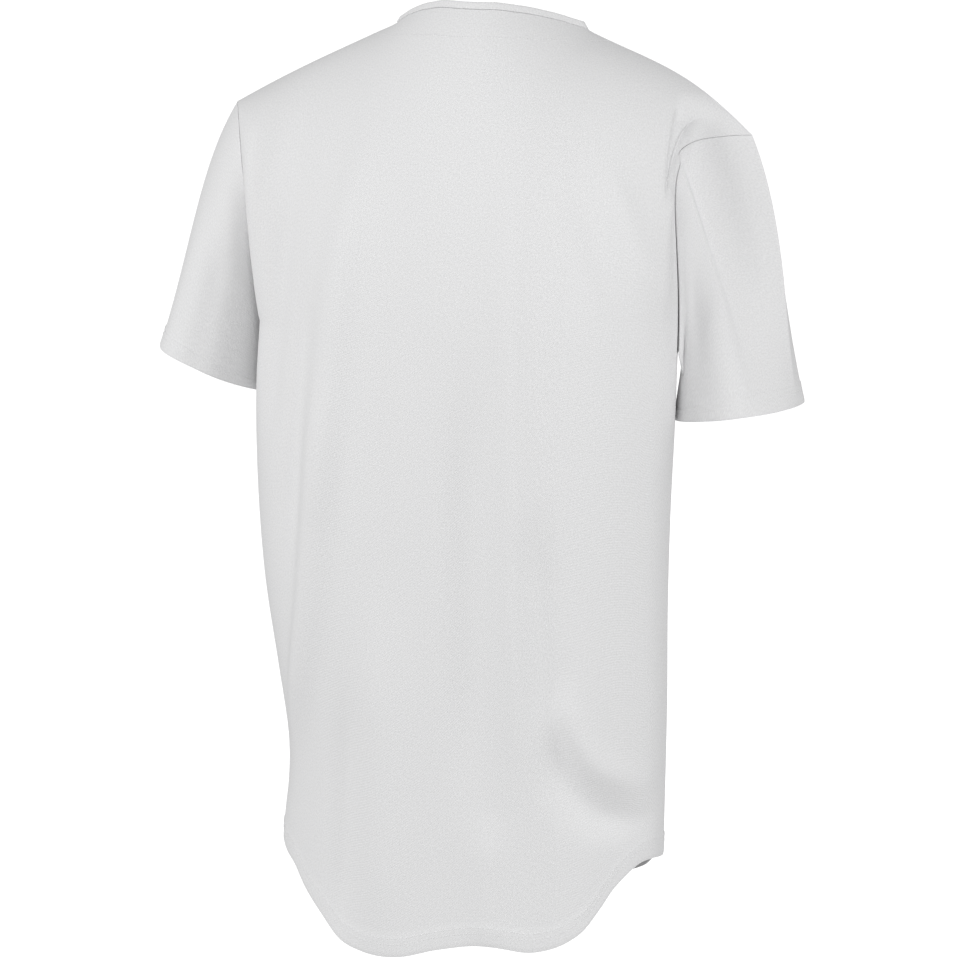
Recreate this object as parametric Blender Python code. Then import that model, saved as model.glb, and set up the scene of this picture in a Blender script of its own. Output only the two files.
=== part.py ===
"""A short-sleeved, full-button baseball jersey, filled out as if it were worn, with nobody in it.

Every piece that is cut and sewn is its own solid: a back, a shallow back yoke, two fronts, two button
bands, two sleeves, a neckband and seven buttons. Each cloth piece is a thin wall round a middle surface.
The frame has the front facing -Y, the wearer's left at +X and +Z up. The origin lies at the neck.
"""

import math

import bpy
import numpy as np

MM = 0.001

# Cloth and sewing
CLOTH = 1.5 * MM
HEM_CLOTH = 2.4 * MM
HEM_WIDTH = 18.0 * MM
SEAM_PULL = 0.20 * MM
YOKE_PULL = 0.30 * MM
ARMHOLE_GAP_TOP = 0.1 * MM
ARMHOLE_GAP_UNDER = 1.9 * MM

# Levels and points that drive the shape
UNDERARM_Z = -0.248
SHOULDER_TIP_Y = 0.006
SHOULDER_TIP_Z = -0.072
SHOULDER_BOW_SKEW = 1.35
SHOULDER_TURN = math.radians(84)
SHOULDER_KNOTS = 8
NECK_POINT = np.array([0.083, 0.004, 0.001])
NECK_MIDDLE_Z = 0.0607
NECK_BACK_Y = 0.062
NECK_FRONT_Y = -0.100
NECK_FRONT_POWER = 0.6
YOKE_MIDDLE_Y = 0.077
BAND_HEIGHT = 7.0 * MM
BAND_CLOTH = 2.2 * MM
BAND_LEAN = 0.55
PLACKET_STEP = 1.0 * MM
ARMHOLE_FRONT = -0.066
ARMHOLE_BELLY_POWER = 0.85
ARMHOLE_RISE_POWER = 1.1
ARMHOLE_INWARD_POWER = 2.0
FRONT_DRAW_FROM = 0.45
DRAW_POWER = 1.5
LEAN_POWER = 1.6
SLEEVE_LENGTH = 0.21
LEAN_FROM = 0.1
LEAN_OVER = 0.5
FOLD_FADE = 0.16
FOLD_FADE_ROWS = 4.0
FOLD_END = 0.25
SLEEVE_FOLD_END = 0.3
SHARP_ANGLE = math.radians(50)

# Shares across a panel: the button band's edge, the neck points of front and back, the yoke seam's end
PLACKET_SHARE = 0.060
FRONT_NECK_SHARE = 0.45
NECK_SHARE = 0.33
YOKE_SHARE = 0.42

# Counts of cells across and down each piece
YOKE_HALF_CELLS = 8
BACK_OUTER_CELLS = 11
FRONT_NECK_CELLS = 5
FRONT_OUTER_CELLS = 10
PLACKET_HALF_CELLS = 2
YOKE_ROWS = 3
BAND_ROWS = 2
UPPER_ROWS = 12
LOWER_ROWS = 15
SLEEVE_ROWS = 9

BUTTON_COUNT = 7
BUTTON_RADIUS = 5.75 * MM
BUTTON_THICKNESS = 2.4 * MM
BUTTON_SIDES = 20
BUTTON_GAP = 0.35 * MM
FIRST_BUTTON_DROP = 0.012
LAST_BUTTON_Z = -0.610


def table(columns, rows):
    """A short table as one array for each named column."""
    return dict(zip(columns, np.array(rows, float).T))


# The torso below the underarms: a level section for each row, lowest first
BODY = table(
    ("height", "half_width", "middle_x", "side_y", "back_y", "front_y"),
    [
        (-0.780, 0.1620, -0.0110, 0.006, 0.116, -0.114),
        (-0.690, 0.1620, -0.0110, 0.006, 0.116, -0.116),
        (-0.600, 0.1620, -0.0100, 0.006, 0.119, -0.117),
        (-0.540, 0.1655, -0.0060, 0.008, 0.123, -0.117),
        (-0.460, 0.1710, 0.0010, 0.012, 0.128, -0.117),
        (-0.380, 0.1745, 0.0040, 0.017, 0.132, -0.118),
        (-0.300, 0.1765, 0.0040, 0.021, 0.134, -0.121),
        (-0.248, 0.1755, 0.0030, 0.022, 0.134, -0.122),
    ],
)

# The hem of the back, from the wearer's right side seam to the left one: a shirt tail in two soft lobes
BACK_HEM = table(
    ("across", "height"),
    [
        (-1.00, -0.6693),
        (-0.90, -0.6670),
        (-0.80, -0.6695),
        (-0.71, -0.6803),
        (-0.66, -0.6893),
        (-0.60, -0.7060),
        (-0.53, -0.7250),
        (-0.47, -0.7350),
        (-0.35, -0.7458),
        (-0.17, -0.7448),
        (-0.04, -0.7528),
        (0.10, -0.7640),
        (0.24, -0.7640),
        (0.34, -0.7570),
        (0.43, -0.7385),
        (0.52, -0.7220),
        (0.60, -0.7067),
        (0.70, -0.6987),
        (0.85, -0.6920),
        (1.00, -0.6900),
    ],
)

# The hem of a front, from the middle to the side seam
FRONT_HEM = table(
    ("across", "height"),
    [(0.00, -0.7200), (0.35, -0.7220), (0.60, -0.7020), (0.80, -0.6780), (1.00, -0.67965)],
)

# What differs between the wearer's two sides
SIDES = {
    "left": {
        "sign": 1.0,
        "tip_x": 0.224,
        "neck_lift": 0.0005,
        "shoulder_bow": 0.0020,
        "side_out": 0.0030,
        "side_back": 0.0,
        "back_squareness": 2.45,
        "front_squareness": 2.15,
        "back_draw_from": 0.45,
        "armhole_turn": 2.4,
        "armhole_back": 0.056,
        "armhole_inward": 0.0,
        "notch_shift": -0.01035,
    },
    "right": {
        "sign": -1.0,
        "tip_x": 0.228,
        "neck_lift": 0.0045,
        "shoulder_bow": 0.0110,
        "side_out": 0.0150,
        "side_back": 0.0340,
        "back_squareness": 2.90,
        "front_squareness": 1.34,
        "back_draw_from": 0.78,
        "armhole_turn": 4.0,
        "armhole_back": 0.010,
        "armhole_inward": 0.020,
        "notch_shift": 0.01035,
    },
}

# The shoulders' top line where the neck is: how much of the way down it has come at each x
NECK_HUMP = table(
    ("x", "drop"),
    [(0.000, 0.00), (0.020, 0.09), (0.040, 0.36), (0.060, 0.68), (0.083, 1.00)],
)

# Sleeve poses: the cuff's middle, its half width and half depth, the drop from its outer to its inner side,
# the lift of its back, and how the cloth leaves the armhole: swung out at the shoulder, out, and to the back
CUFF_COLUMNS = ("x", "y", "z", "half_width", "half_depth", "drop", "back_lift", "swing", "out", "deep")
CUFFS = {
    "left": dict(zip(CUFF_COLUMNS, (0.2330, 0.010, -0.298, 0.045, 0.074, 0.036, 0.010, 0.52, 0.10, 0.22))),
    "right": dict(zip(CUFF_COLUMNS, (0.2245, 0.000, -0.2990, 0.050, 0.062, 0.016, 0.000, 0.16, 0.32, 0.00))),
}

# Folds of the back: ends of each fold by x and z, half width, and height (a trough is negative)
FOLD_COLUMNS = ("x_top", "z_top", "x_end", "z_end", "bend", "half_width", "height")
BACK_FOLDS = table(
    FOLD_COLUMNS,
    [
        (0.074, -0.120, 0.092, -0.360, 0.000, 0.017, 0.0090),
        (0.092, -0.330, 0.130, -0.590, 0.006, 0.017, 0.0110),
        (0.116, -0.200, 0.124, -0.440, 0.000, 0.015, -0.0070),
        (0.122, -0.450, 0.146, -0.640, 0.000, 0.015, -0.0060),
        (0.140, -0.150, 0.150, -0.330, 0.000, 0.013, -0.0060),
        (0.028, -0.160, 0.014, -0.520, 0.000, 0.022, -0.0040),
        (-0.034, -0.300, -0.045, -0.590, 0.000, 0.020, -0.0065),
        (-0.064, -0.130, -0.086, -0.540, 0.000, 0.017, 0.0060),
        (-0.098, -0.400, -0.112, -0.560, 0.000, 0.018, -0.0055),
        (-0.114, -0.570, -0.178, -0.636, -0.016, 0.017, -0.0080),
        (-0.122, -0.530, -0.172, -0.600, -0.010, 0.013, 0.0045),
        (-0.122, -0.130, -0.180, -0.250, 0.000, 0.012, -0.0045),
        (-0.142, -0.110, -0.184, -0.200, 0.000, 0.010, 0.0035),
        (0.040, -0.500, 0.030, -0.750, 0.000, 0.020, 0.0050),
        (0.070, -0.560, 0.072, -0.740, 0.000, 0.013, -0.0045),
        (-0.060, -0.650, -0.064, -0.750, 0.000, 0.015, 0.0045),
    ],
)
FRONT_FOLDS = table(
    FOLD_COLUMNS,
    [
        (0.072, -0.170, 0.084, -0.520, 0.000, 0.022, -0.0060),
        (0.104, -0.200, 0.126, -0.600, 0.000, 0.022, 0.0070),
        (0.050, -0.380, 0.060, -0.680, 0.000, 0.022, 0.0050),
        (0.140, -0.240, 0.110, -0.380, 0.000, 0.018, -0.0050),
    ],
)

# A button's profile from the middle of its face, over the rim, to the middle of its underside
BUTTON_PROFILE = table(
    ("radius_share", "height_share"),
    [(0.00, 0.75), (0.62, 0.75), (0.72, 1.00), (0.94, 1.00), (1.00, 0.70), (0.98, 0.00), (0.00, 0.00)],
)

# Folds of a sleeve: turn round the tube in degrees from the top through the back, share of its length
SLEEVE_FOLDS = table(
    ("turn", "from_share", "to_share", "half_turn", "height"),
    [
        (62.0, 0.30, 1.00, 20.0, 0.0028),
        (98.0, 0.25, 0.95, 17.0, -0.0028),
        (300.0, 0.10, 0.95, 18.0, -0.0045),
        (335.0, 0.20, 1.00, 16.0, 0.0030),
    ],
)


def follow(at, knots, values):
    """A smooth curve through the values at the knots: cubic pieces with matching slopes."""
    slopes = np.gradient(values, knots)
    at = np.clip(at, knots[0], knots[-1])
    low = np.clip(np.searchsorted(knots, at, side="right") - 1, 0, len(knots) - 2)
    width = knots[low + 1] - knots[low]
    t = (at - knots[low]) / width
    first = (1 + 2 * t) * (1 - t) ** 2 * values[low] + t * (1 - t) ** 2 * width * slopes[low]
    second = t**2 * (3 - 2 * t) * values[low + 1] - t**2 * (1 - t) * width * slopes[low + 1]
    return first + second


def unit(vectors):
    """Each vector divided by its own length."""
    return vectors / np.linalg.norm(vectors, axis=-1, keepdims=True)


def smooth_step(share):
    """Rises from 0 to 1 with level ends."""
    share = np.clip(share, 0.0, 1.0)
    return share * share * (3 - 2 * share)


def by_side(across, name):
    """The named value of the side that each point lies on."""
    return np.where(across >= 0, SIDES["left"][name], SIDES["right"][name])


def spread(start, end, cells):
    """Evenly spaced values from start to end, one more than the cells between them."""
    return np.linspace(start, end, cells + 1)


def body_point(across, height, is_back):
    """The torso below the underarms: at each height half of a superellipse, by a sine of across (-1 to 1)."""
    half_width = follow(height, BODY["height"], BODY["half_width"]) + by_side(across, "side_out")
    side_y = follow(height, BODY["height"], BODY["side_y"]) + by_side(across, "side_back")
    middle_x = follow(height, BODY["height"], BODY["middle_x"])
    deep_y = follow(height, BODY["height"], BODY["back_y" if is_back else "front_y"])
    squareness = by_side(across, "back_squareness" if is_back else "front_squareness")
    reach = np.sin(across * math.pi / 2)
    rise = np.clip(1 - np.abs(reach) ** squareness, 0, 1) ** (1 / squareness)
    x = middle_x + half_width * reach
    return np.stack([x, side_y + (deep_y - side_y) * rise, height + 0 * x], axis=-1)


def ridge_knots():
    """The shoulders' top line by x and z: a slope with a skewed half sine on it, and a hump at the neck."""
    places, heights = [], []
    for side, order in (("right", -1), ("left", 1)):
        share = spread(0, 1, SHOULDER_KNOTS)[1:]
        x = NECK_POINT[0] + share * (SIDES[side]["tip_x"] - NECK_POINT[0])
        neck_z = NECK_POINT[2] + SIDES[side]["neck_lift"]
        bow = SIDES[side]["shoulder_bow"] * np.sin(math.pi * share**SHOULDER_BOW_SKEW)
        z = neck_z + share * (SHOULDER_TIP_Z - neck_z) + bow
        x = np.concatenate([NECK_HUMP["x"], x])
        z = np.concatenate([NECK_MIDDLE_Z - (NECK_MIDDLE_Z - neck_z) * NECK_HUMP["drop"], z])
        places.append(x[::order] * order)
        heights.append(z[::order])
    places[1], heights[1] = places[1][1:], heights[1][1:]
    return np.concatenate(places), np.concatenate(heights)


RIDGE_X, RIDGE_Z = ridge_knots()


def shoulder_point(x):
    """The shoulders' top line at x. Outside the neck points it is the shoulder seam."""
    share = np.clip((np.abs(x) - NECK_POINT[0]) / (by_side(x, "tip_x") - NECK_POINT[0]), 0, 1)
    y = NECK_POINT[1] + share * (SHOULDER_TIP_Y - NECK_POINT[1])
    return np.stack([x, y, follow(x, RIDGE_X, RIDGE_Z)], axis=-1)


def shoulder_normals(x):
    """Normals of the shoulder seam that lean neither to the front nor to the back."""
    slope = (shoulder_point(x + MM)[..., 2] - shoulder_point(x - MM)[..., 2]) / (2 * MM)
    return unit(np.stack([-slope, 0 * x, 1 + 0 * x], axis=-1))


def armhole_point(climb, across, is_back):
    """The armhole from the underarm (0) to the shoulder tip (1): a sine belly to the back or to the front."""
    sign = np.where(across >= 0, 1.0, -1.0)
    underarm = body_point(sign, UNDERARM_Z + 0 * sign, True)
    swell = np.clip(np.sin(math.pi * climb), 0, 1) ** ARMHOLE_BELLY_POWER
    belly = (by_side(across, "armhole_back") if is_back else ARMHOLE_FRONT) * swell
    late_swell = np.sin(math.pi * climb**ARMHOLE_INWARD_POWER)
    inward = by_side(across, "armhole_inward") * late_swell if is_back else 0.0
    out = climb ** by_side(across, "armhole_turn")
    x = underarm[..., 0] + (sign * by_side(across, "tip_x") - underarm[..., 0]) * out - sign * inward
    y = underarm[..., 1] + (SHOULDER_TIP_Y - underarm[..., 1]) * climb + belly
    z = UNDERARM_Z + (SHOULDER_TIP_Z - UNDERARM_Z) * np.sin(climb * math.pi / 2) ** ARMHOLE_RISE_POWER
    return np.stack([x, y, z], axis=-1)


def turned_over(bottom, top, climb, end):
    """Part of an ellipse from bottom, where it stands upright, to top, where it has turned by an angle."""
    turn = climb * end
    weights = [climb**LEAN_POWER, (1 - np.cos(turn)) / (1 - np.cos(end)), np.sin(turn) / np.sin(end)]
    weights = np.stack(weights, axis=-1)
    return bottom + (top - bottom) * weights


def ridge_place(across, neck_share):
    """Where a panel's column meets the shoulders' top line, by a smooth curve through neck point and tip."""
    knots = np.array([-1.0, -neck_share, 0.0, neck_share, 1.0])
    right_tip, left_tip = -SIDES["right"]["tip_x"], SIDES["left"]["tip_x"]
    places = np.array([right_tip, -NECK_POINT[0], 0.0, NECK_POINT[0], left_tip])
    return shoulder_point(follow(across, knots, places))


def upper_point(across, climb, is_back, neck_share):
    """The cloth above the underarms, turned over to the shoulders' top line and drawn to the armhole."""
    level = UNDERARM_Z + 0 * across
    edge = np.where(across >= 0, 1.0, -1.0)
    bottom, top = body_point(across, level, is_back), ridge_place(across, neck_share)
    edge_bottom, edge_top = body_point(edge, level, is_back), ridge_place(edge, neck_share)
    point = turned_over(bottom, top, climb, SHOULDER_TURN)
    drawn = armhole_point(climb, across, is_back) - turned_over(edge_bottom, edge_top, climb, SHOULDER_TURN)
    draw_from = by_side(across, "back_draw_from") if is_back else FRONT_DRAW_FROM
    pull = smooth_step((np.abs(across) - draw_from) / (1 - draw_from))[..., None] ** DRAW_POWER
    return point + drawn * pull


def arch_climb(across, end_share, middle_y, is_back, neck_share, power=1.0):
    """How far up each column a seam lies that arches by a cosine's power from middle_y to the top line."""
    bottom_y = body_point(across, UNDERARM_Z + 0 * across, is_back)[..., 1]
    top_y = ridge_place(across, neck_share)[..., 1]
    arch = np.clip(np.cos(np.clip(across / end_share, -1, 1) * math.pi / 2), 0, 1) ** power
    y = top_y + (middle_y - top_y) * arch
    turn = np.arccos(1 - (y - bottom_y) / (top_y - bottom_y) * (1 - math.cos(SHOULDER_TURN)))
    return np.clip(turn / SHOULDER_TURN, 0, 1)


def fold_height(x, z, folds):
    """Sum of the folds: round each fold's line a bell across it, with soft ends."""
    height = np.zeros_like(x)
    for row in range(len(folds["height"])):
        start = np.array([folds["x_top"][row], folds["z_top"][row]])
        along = np.array([folds["x_end"][row], folds["z_end"][row]]) - start
        length = np.linalg.norm(along)
        offset = np.stack([x - start[0], z - start[1]], axis=-1)
        share = offset @ along / length**2
        apart = (offset[..., 0] * along[1] - offset[..., 1] * along[0]) / length
        apart = apart - folds["bend"][row] * 4 * share * (1 - share)
        starts = smooth_step((share + FOLD_END) / (2 * FOLD_END))
        ends = smooth_step((1 + FOLD_END - share) / (2 * FOLD_END))
        height += folds["height"][row] * starts * ends * np.exp(-((apart / folds["half_width"][row]) ** 2))
    return height


def grid_normals(points, closed_across=False):
    """Outward unit normals of a grid whose rows run down and whose columns run anticlockwise from above."""
    down = np.gradient(points, axis=0)
    if closed_across:
        looped = np.concatenate([points[:, -1:], points, points[:, :1]], axis=1)
        across = (looped[:, 2:] - looped[:, :-2]) / 2
    else:
        across = np.gradient(points, axis=1)
    return unit(np.cross(down, across))


def pull_in(points, distance, edges):
    """Moves the named edges of a grid inwards along the surface, which leaves the gap at a seam."""
    moved = points.copy()
    if "top" in edges:
        moved[0] += unit(points[1] - points[0]) * distance
    if "bottom" in edges:
        moved[-1] += unit(points[-2] - points[-1]) * distance
    if "first" in edges:
        moved[:, 0] += unit(points[:, 1] - points[:, 0]) * distance
    if "last" in edges:
        moved[:, -1] += unit(points[:, -2] - points[:, -1]) * distance
    return moved


def material(name, colour, roughness):
    """A plain finish of its own for each kind of part."""
    made = bpy.data.materials.new(name)
    made.use_nodes = True
    shader = made.node_tree.nodes["Principled BSDF"]
    shader.inputs["Base Color"].default_value = (*colour, 1.0)
    shader.inputs["Roughness"].default_value = roughness
    shader.inputs["Metallic"].default_value = 0.0
    made.diffuse_color = (*colour, 1.0)
    return made


def add_solid(name, points, faces, finish):
    """One named body from its points and faces."""
    mesh = bpy.data.meshes.new(name)
    mesh.from_pydata(points.tolist(), [], faces)
    mesh.materials.append(finish)
    mesh.shade_smooth()
    mesh.set_sharp_from_angle(angle=SHARP_ANGLE)
    made = bpy.data.objects.new(name, mesh)
    bpy.context.scene.collection.objects.link(made)
    return made


def wall_faces(rows, columns, closed_across):
    """Quads of a closed wall: the outer grid, the inner grid turned round, and the rims that join them."""
    cells = columns if closed_across else columns - 1
    row, column = np.meshgrid(np.arange(rows - 1), np.arange(cells), indexing="ij")
    after = (column + 1) % columns
    here, below = row * columns, (row + 1) * columns
    one = np.stack([here + column, below + column, below + after], axis=-1).reshape(-1, 3)
    two = np.stack([here + column, below + after, here + after], axis=-1).reshape(-1, 3)
    outer = np.concatenate([one, two])
    inner_start = rows * columns
    edge = np.arange(cells)
    edge_after = (edge + 1) % columns
    rims = [(edge, edge_after), (edge_after + inner_start - columns, edge + inner_start - columns)]
    if not closed_across:
        side = np.arange(rows - 1) * columns
        end = columns - 1
        rims += [(side + columns, side), (side + end, side + columns + end)]
    joined = [np.stack([start, end, end + inner_start, start + inner_start], axis=-1) for start, end in rims]
    faces = np.concatenate([outer, outer[:, ::-1] + inner_start]).tolist()
    return faces + np.concatenate(joined).tolist()


def add_wall(name, points, normals, thickness, finish, closed_across=False):
    """A closed wall of cloth: half its thickness to each side of the middle surface."""
    half = np.broadcast_to(thickness / 2, points.shape[:2])[..., None]
    rows, columns = points.shape[:2]
    outer = (points + normals * half).reshape(-1, 3)
    inner = (points - normals * half).reshape(-1, 3)
    return add_solid(name, np.concatenate([outer, inner]), wall_faces(rows, columns, closed_across), finish)


def panel_grid(across, top_climb, is_back, neck_share, hem):
    """Middle surface of a panel, row 0 at its upper edge and the last row at its hem."""
    upper = [
        upper_point(across, share * top_climb, is_back, neck_share) for share in spread(1, 0, UPPER_ROWS)
    ]
    shares = spread(0, 1, LOWER_ROWS - 1)[1:, None]
    levels = np.concatenate([UNDERARM_Z + (hem + HEM_WIDTH - UNDERARM_Z) * shares, hem[None]])
    lower = [body_point(across, level, is_back) for level in levels]
    return np.array(upper + lower)


def with_folds(points, across, folds):
    """The panel pushed in and out by its folds, which fade towards its upper edge and its side edges."""
    sides = smooth_step((1 - np.abs(across)) / FOLD_FADE)[None, :]
    top = smooth_step(np.arange(len(points)) / FOLD_FADE_ROWS)[:, None]
    height = fold_height(points[..., 0], points[..., 2], folds) * sides * top
    return points + grid_normals(points) * height[..., None]


def hem_thickness(points):
    """Cloth everywhere, with the doubled hem in the last two rows."""
    thickness = np.full(points.shape[:2], CLOTH)
    thickness[-2:] = HEM_CLOTH
    return thickness


def sleeve_folds(turn, shares):
    """Height of the sleeve's folds at each turn round it and each share of its length."""
    height = np.zeros((len(shares), len(turn)))
    for row in range(len(SLEEVE_FOLDS["height"])):
        apart = (turn - SLEEVE_FOLDS["turn"][row] + 180) % 360 - 180
        bump = np.exp(-((apart / SLEEVE_FOLDS["half_turn"][row]) ** 2))
        low, high = SLEEVE_FOLDS["from_share"][row], SLEEVE_FOLDS["to_share"][row]
        starts = smooth_step((shares - low) / SLEEVE_FOLD_END)
        ends = smooth_step((high + SLEEVE_FOLD_END - shares) / SLEEVE_FOLD_END)
        height += SLEEVE_FOLDS["height"][row] * (starts * ends)[:, None] * bump[None, :]
    return height


def sleeve_grid(side, loop):
    """A sleeve: each line leaves the armhole loop in its own direction and bends to the cuff's ring."""
    cuff = CUFFS[side]
    sign = SIDES[side]["sign"]
    around = np.arange(len(loop)) / len(loop) * 2 * math.pi
    outer_share = (1 + np.cos(around)) / 2
    aside = np.array([sign, 1.0, 1.0])
    clearance = ARMHOLE_GAP_TOP + (ARMHOLE_GAP_UNDER - ARMHOLE_GAP_TOP) * (1 - outer_share)
    loop = loop + clearance[:, None] * np.array([sign, 0.0, 0.0])
    swing = [np.cos(around), sign * np.sin(around), np.cos(around)]
    size = [cuff["half_width"], cuff["half_depth"], cuff["drop"] / 2]
    ring = np.stack([share * reach for share, reach in zip(swing, size)], axis=-1) * aside
    ring = ring + np.array([cuff["x"], cuff["y"], cuff["z"]]) * aside
    ring[:, 2] += cuff["back_lift"] * sign * np.sin(around)
    leaving_x = cuff["out"] + cuff["swing"] * outer_share
    leaving_y = sign * cuff["deep"] * np.sin(around)
    leaving = unit(np.stack([leaving_x, leaving_y, -1 + 0 * around], axis=-1) * aside)
    length = np.linalg.norm(ring - loop, axis=-1, keepdims=True)
    arriving = unit(ring - loop)
    shares = np.append(spread(0, 1 - HEM_WIDTH / SLEEVE_LENGTH, SLEEVE_ROWS - 1), 1.0)
    t = shares[:, None, None]
    start = (1 + 2 * t) * (1 - t) ** 2 * loop + t * (1 - t) ** 2 * length * leaving
    end = t**2 * (3 - 2 * t) * ring - t**2 * (1 - t) * length * arriving
    points = start + end
    height = sleeve_folds(np.degrees(around) * sign, shares)
    return points + grid_normals(points, closed_across=True) * height[..., None]


for old in list(bpy.data.objects):
    bpy.data.objects.remove(old)

KNIT = material("white_knit", (0.80, 0.80, 0.80), 0.85)
BINDING = material("white_neck_binding", (0.82, 0.82, 0.82), 0.80)
BUTTON = material("white_button", (0.84, 0.84, 0.83), 0.35)


# Middle surfaces of the back and of the whole front, whose columns run anticlockwise from above
back_half = np.concatenate(
    [spread(0, YOKE_SHARE, YOKE_HALF_CELLS)[:-1], spread(YOKE_SHARE, 1, BACK_OUTER_CELLS)]
)
back_across = np.concatenate([back_half[::-1], -back_half[1:]])
front_half = np.concatenate(
    [
        spread(0, PLACKET_SHARE, PLACKET_HALF_CELLS)[:-1],
        spread(PLACKET_SHARE, FRONT_NECK_SHARE, FRONT_NECK_CELLS)[:-1],
        spread(FRONT_NECK_SHARE, 1, FRONT_OUTER_CELLS),
    ]
)
front_across = np.concatenate([-front_half[::-1], front_half[1:]])
back_hem = follow(back_across, BACK_HEM["across"], BACK_HEM["height"])
front_hem = follow(np.abs(front_across), FRONT_HEM["across"], FRONT_HEM["height"])
front_hem = front_hem + by_side(front_across, "notch_shift") * np.abs(front_across)
seam_climb = arch_climb(back_across, YOKE_SHARE, YOKE_MIDDLE_Y, True, NECK_SHARE)
neck_climb = arch_climb(
    front_across, FRONT_NECK_SHARE, NECK_FRONT_Y, False, FRONT_NECK_SHARE, NECK_FRONT_POWER
)
back = with_folds(panel_grid(back_across, seam_climb, True, NECK_SHARE, back_hem), back_across, BACK_FOLDS)
front = with_folds(
    panel_grid(front_across, neck_climb, False, FRONT_NECK_SHARE, front_hem), front_across, FRONT_FOLDS
)
back_normals = grid_normals(back)
front_normals = grid_normals(front)

# Shoulder seams: both walls end on one plane
for grid, grid_normal, on_shoulder in (
    (back, back_normals, np.abs(back_across) >= YOKE_SHARE),
    (front, front_normals, np.abs(front_across) >= FRONT_NECK_SHARE),
):
    grid_normal[0, on_shoulder] = shoulder_normals(grid[0, on_shoulder, 0])

# Side seams: both walls end on one plane, from the underarm row down
for back_column, front_column in ((0, -1), (-1, 0)):
    mean = unit(back_normals[UPPER_ROWS:, back_column] + front_normals[UPPER_ROWS:, front_column])
    back_normals[UPPER_ROWS:, back_column] = mean
    front_normals[UPPER_ROWS:, front_column] = mean


def loop_of(first_grid, second_grid):
    """The armhole, from the shoulder tip down one panel's outer edge and back up the other's."""
    return np.concatenate([first_grid[: UPPER_ROWS + 1, 0], second_grid[1:UPPER_ROWS, -1][::-1]])


# Sleeves: each starts on its armhole, through the panels' own points
for side, first, first_normals, second, second_normals in (
    ("left", back, back_normals, front, front_normals),
    ("right", front, front_normals, back, back_normals),
):
    sleeve = sleeve_grid(side, loop_of(first, second))
    sleeve_normals = grid_normals(sleeve, closed_across=True)
    panel_normals = loop_of(first_normals, second_normals)
    agree = np.sum(panel_normals * sleeve_normals[0], axis=-1, keepdims=True)
    lean = smooth_step((agree + LEAN_FROM) / LEAN_OVER)
    new_panel_normals = unit(panel_normals + lean * sleeve_normals[0])
    sleeve_normals[0] = unit(sleeve_normals[0] + lean * panel_normals)
    first_normals[: UPPER_ROWS + 1, 0] = new_panel_normals[: UPPER_ROWS + 1]
    second_normals[1:UPPER_ROWS, -1] = new_panel_normals[UPPER_ROWS + 1 :][::-1]
    second_normals[0, -1] = new_panel_normals[0]
    sleeve = pull_in(sleeve, SEAM_PULL, ["top"])
    add_wall("sleeve_" + side, sleeve, sleeve_normals, hem_thickness(sleeve), KNIT, closed_across=True)

# Yoke: a shallow crescent between the back neckline and the yoke seam
yoke_columns = np.abs(back_across) <= YOKE_SHARE + 1e-9
seam_across = back_across[yoke_columns]
neck_across = seam_across * NECK_SHARE / YOKE_SHARE
neck_back_climb = arch_climb(neck_across, NECK_SHARE, NECK_BACK_Y, True, NECK_SHARE)
down = spread(0, 1, YOKE_ROWS)[:, None]
yoke_across = neck_across + (seam_across - neck_across) * down
yoke_climb = neck_back_climb + (seam_climb[yoke_columns] - neck_back_climb) * down
yoke = upper_point(yoke_across, yoke_climb, True, NECK_SHARE)
yoke_normals = grid_normals(yoke)
yoke_normals[:, [0, -1]] = shoulder_normals(yoke[:, [0, -1], 0])
seam_mean = unit(yoke_normals[-1] + back_normals[0, yoke_columns])
yoke_normals[-1] = seam_mean
back_normals[0, yoke_columns] = seam_mean

# Neckband: a narrow bound edge that stands on the neckline, open at the middle of the front
placket_first = front_half.size - 1 - PLACKET_HALF_CELLS
placket_last = front_half.size - 1 + PLACKET_HALF_CELLS
neck_first = placket_first - FRONT_NECK_CELLS
neck_last = placket_last + FRONT_NECK_CELLS
middle_column = front_half.size - 1
left_part = slice(middle_column, neck_last + 1)
right_part = slice(neck_first, middle_column + 1)
band_base = np.concatenate([front[0, left_part], yoke[0, 1:-1], front[0, right_part]])
panel_normals = np.concatenate(
    [front_normals[0, left_part], yoke_normals[0, 1:-1], front_normals[0, right_part]]
)
radial = unit((band_base - NECK_POINT * [0, 1, 0]) * [1, 1, 0])
rise = unit(radial * -BAND_LEAN + np.array([0, 0, 1.0]))
band = band_base + rise * BAND_HEIGHT * spread(1, 0, BAND_ROWS)[:, None, None]
band_normals = grid_normals(band)
band_normals[-1] = unit(band_normals[-1] + panel_normals)
left_count, right_count = neck_last - middle_column + 1, middle_column - neck_first + 1
yoke_normals[0, 1:-1] = band_normals[-1, left_count:-right_count]
front_normals[0, left_part] = band_normals[-1, :left_count]
front_normals[0, right_part] = band_normals[-1, -right_count:]
band = pull_in(band, SEAM_PULL * 2, ["bottom", "first", "last"])
add_wall("neckband", band, band_normals, BAND_CLOTH, BINDING)

yoke_pulled = pull_in(yoke, YOKE_PULL, ["top", "bottom", "first", "last"])
add_wall("back_yoke", yoke_pulled, yoke_normals, CLOTH, KNIT)
back_pulled = pull_in(back, SEAM_PULL, ["top", "first", "last"])
add_wall("back", back_pulled, back_normals, hem_thickness(back), KNIT)

fronts = {
    "front_right": (slice(0, placket_first + 1), 0.0),
    "placket_right": (slice(placket_first, placket_last + 1), -PLACKET_STEP),
    "placket_left": (slice(placket_first, placket_last + 1), PLACKET_STEP),
    "front_left": (slice(placket_last, None), 0.0),
}
for name, (columns, step) in fronts.items():
    piece = front[:, columns] + front_normals[:, columns] * step
    piece = pull_in(piece, SEAM_PULL, ["top", "first", "last"])
    add_wall(name, piece, front_normals[:, columns], hem_thickness(piece) if step == 0 else CLOTH, KNIT)


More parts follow.
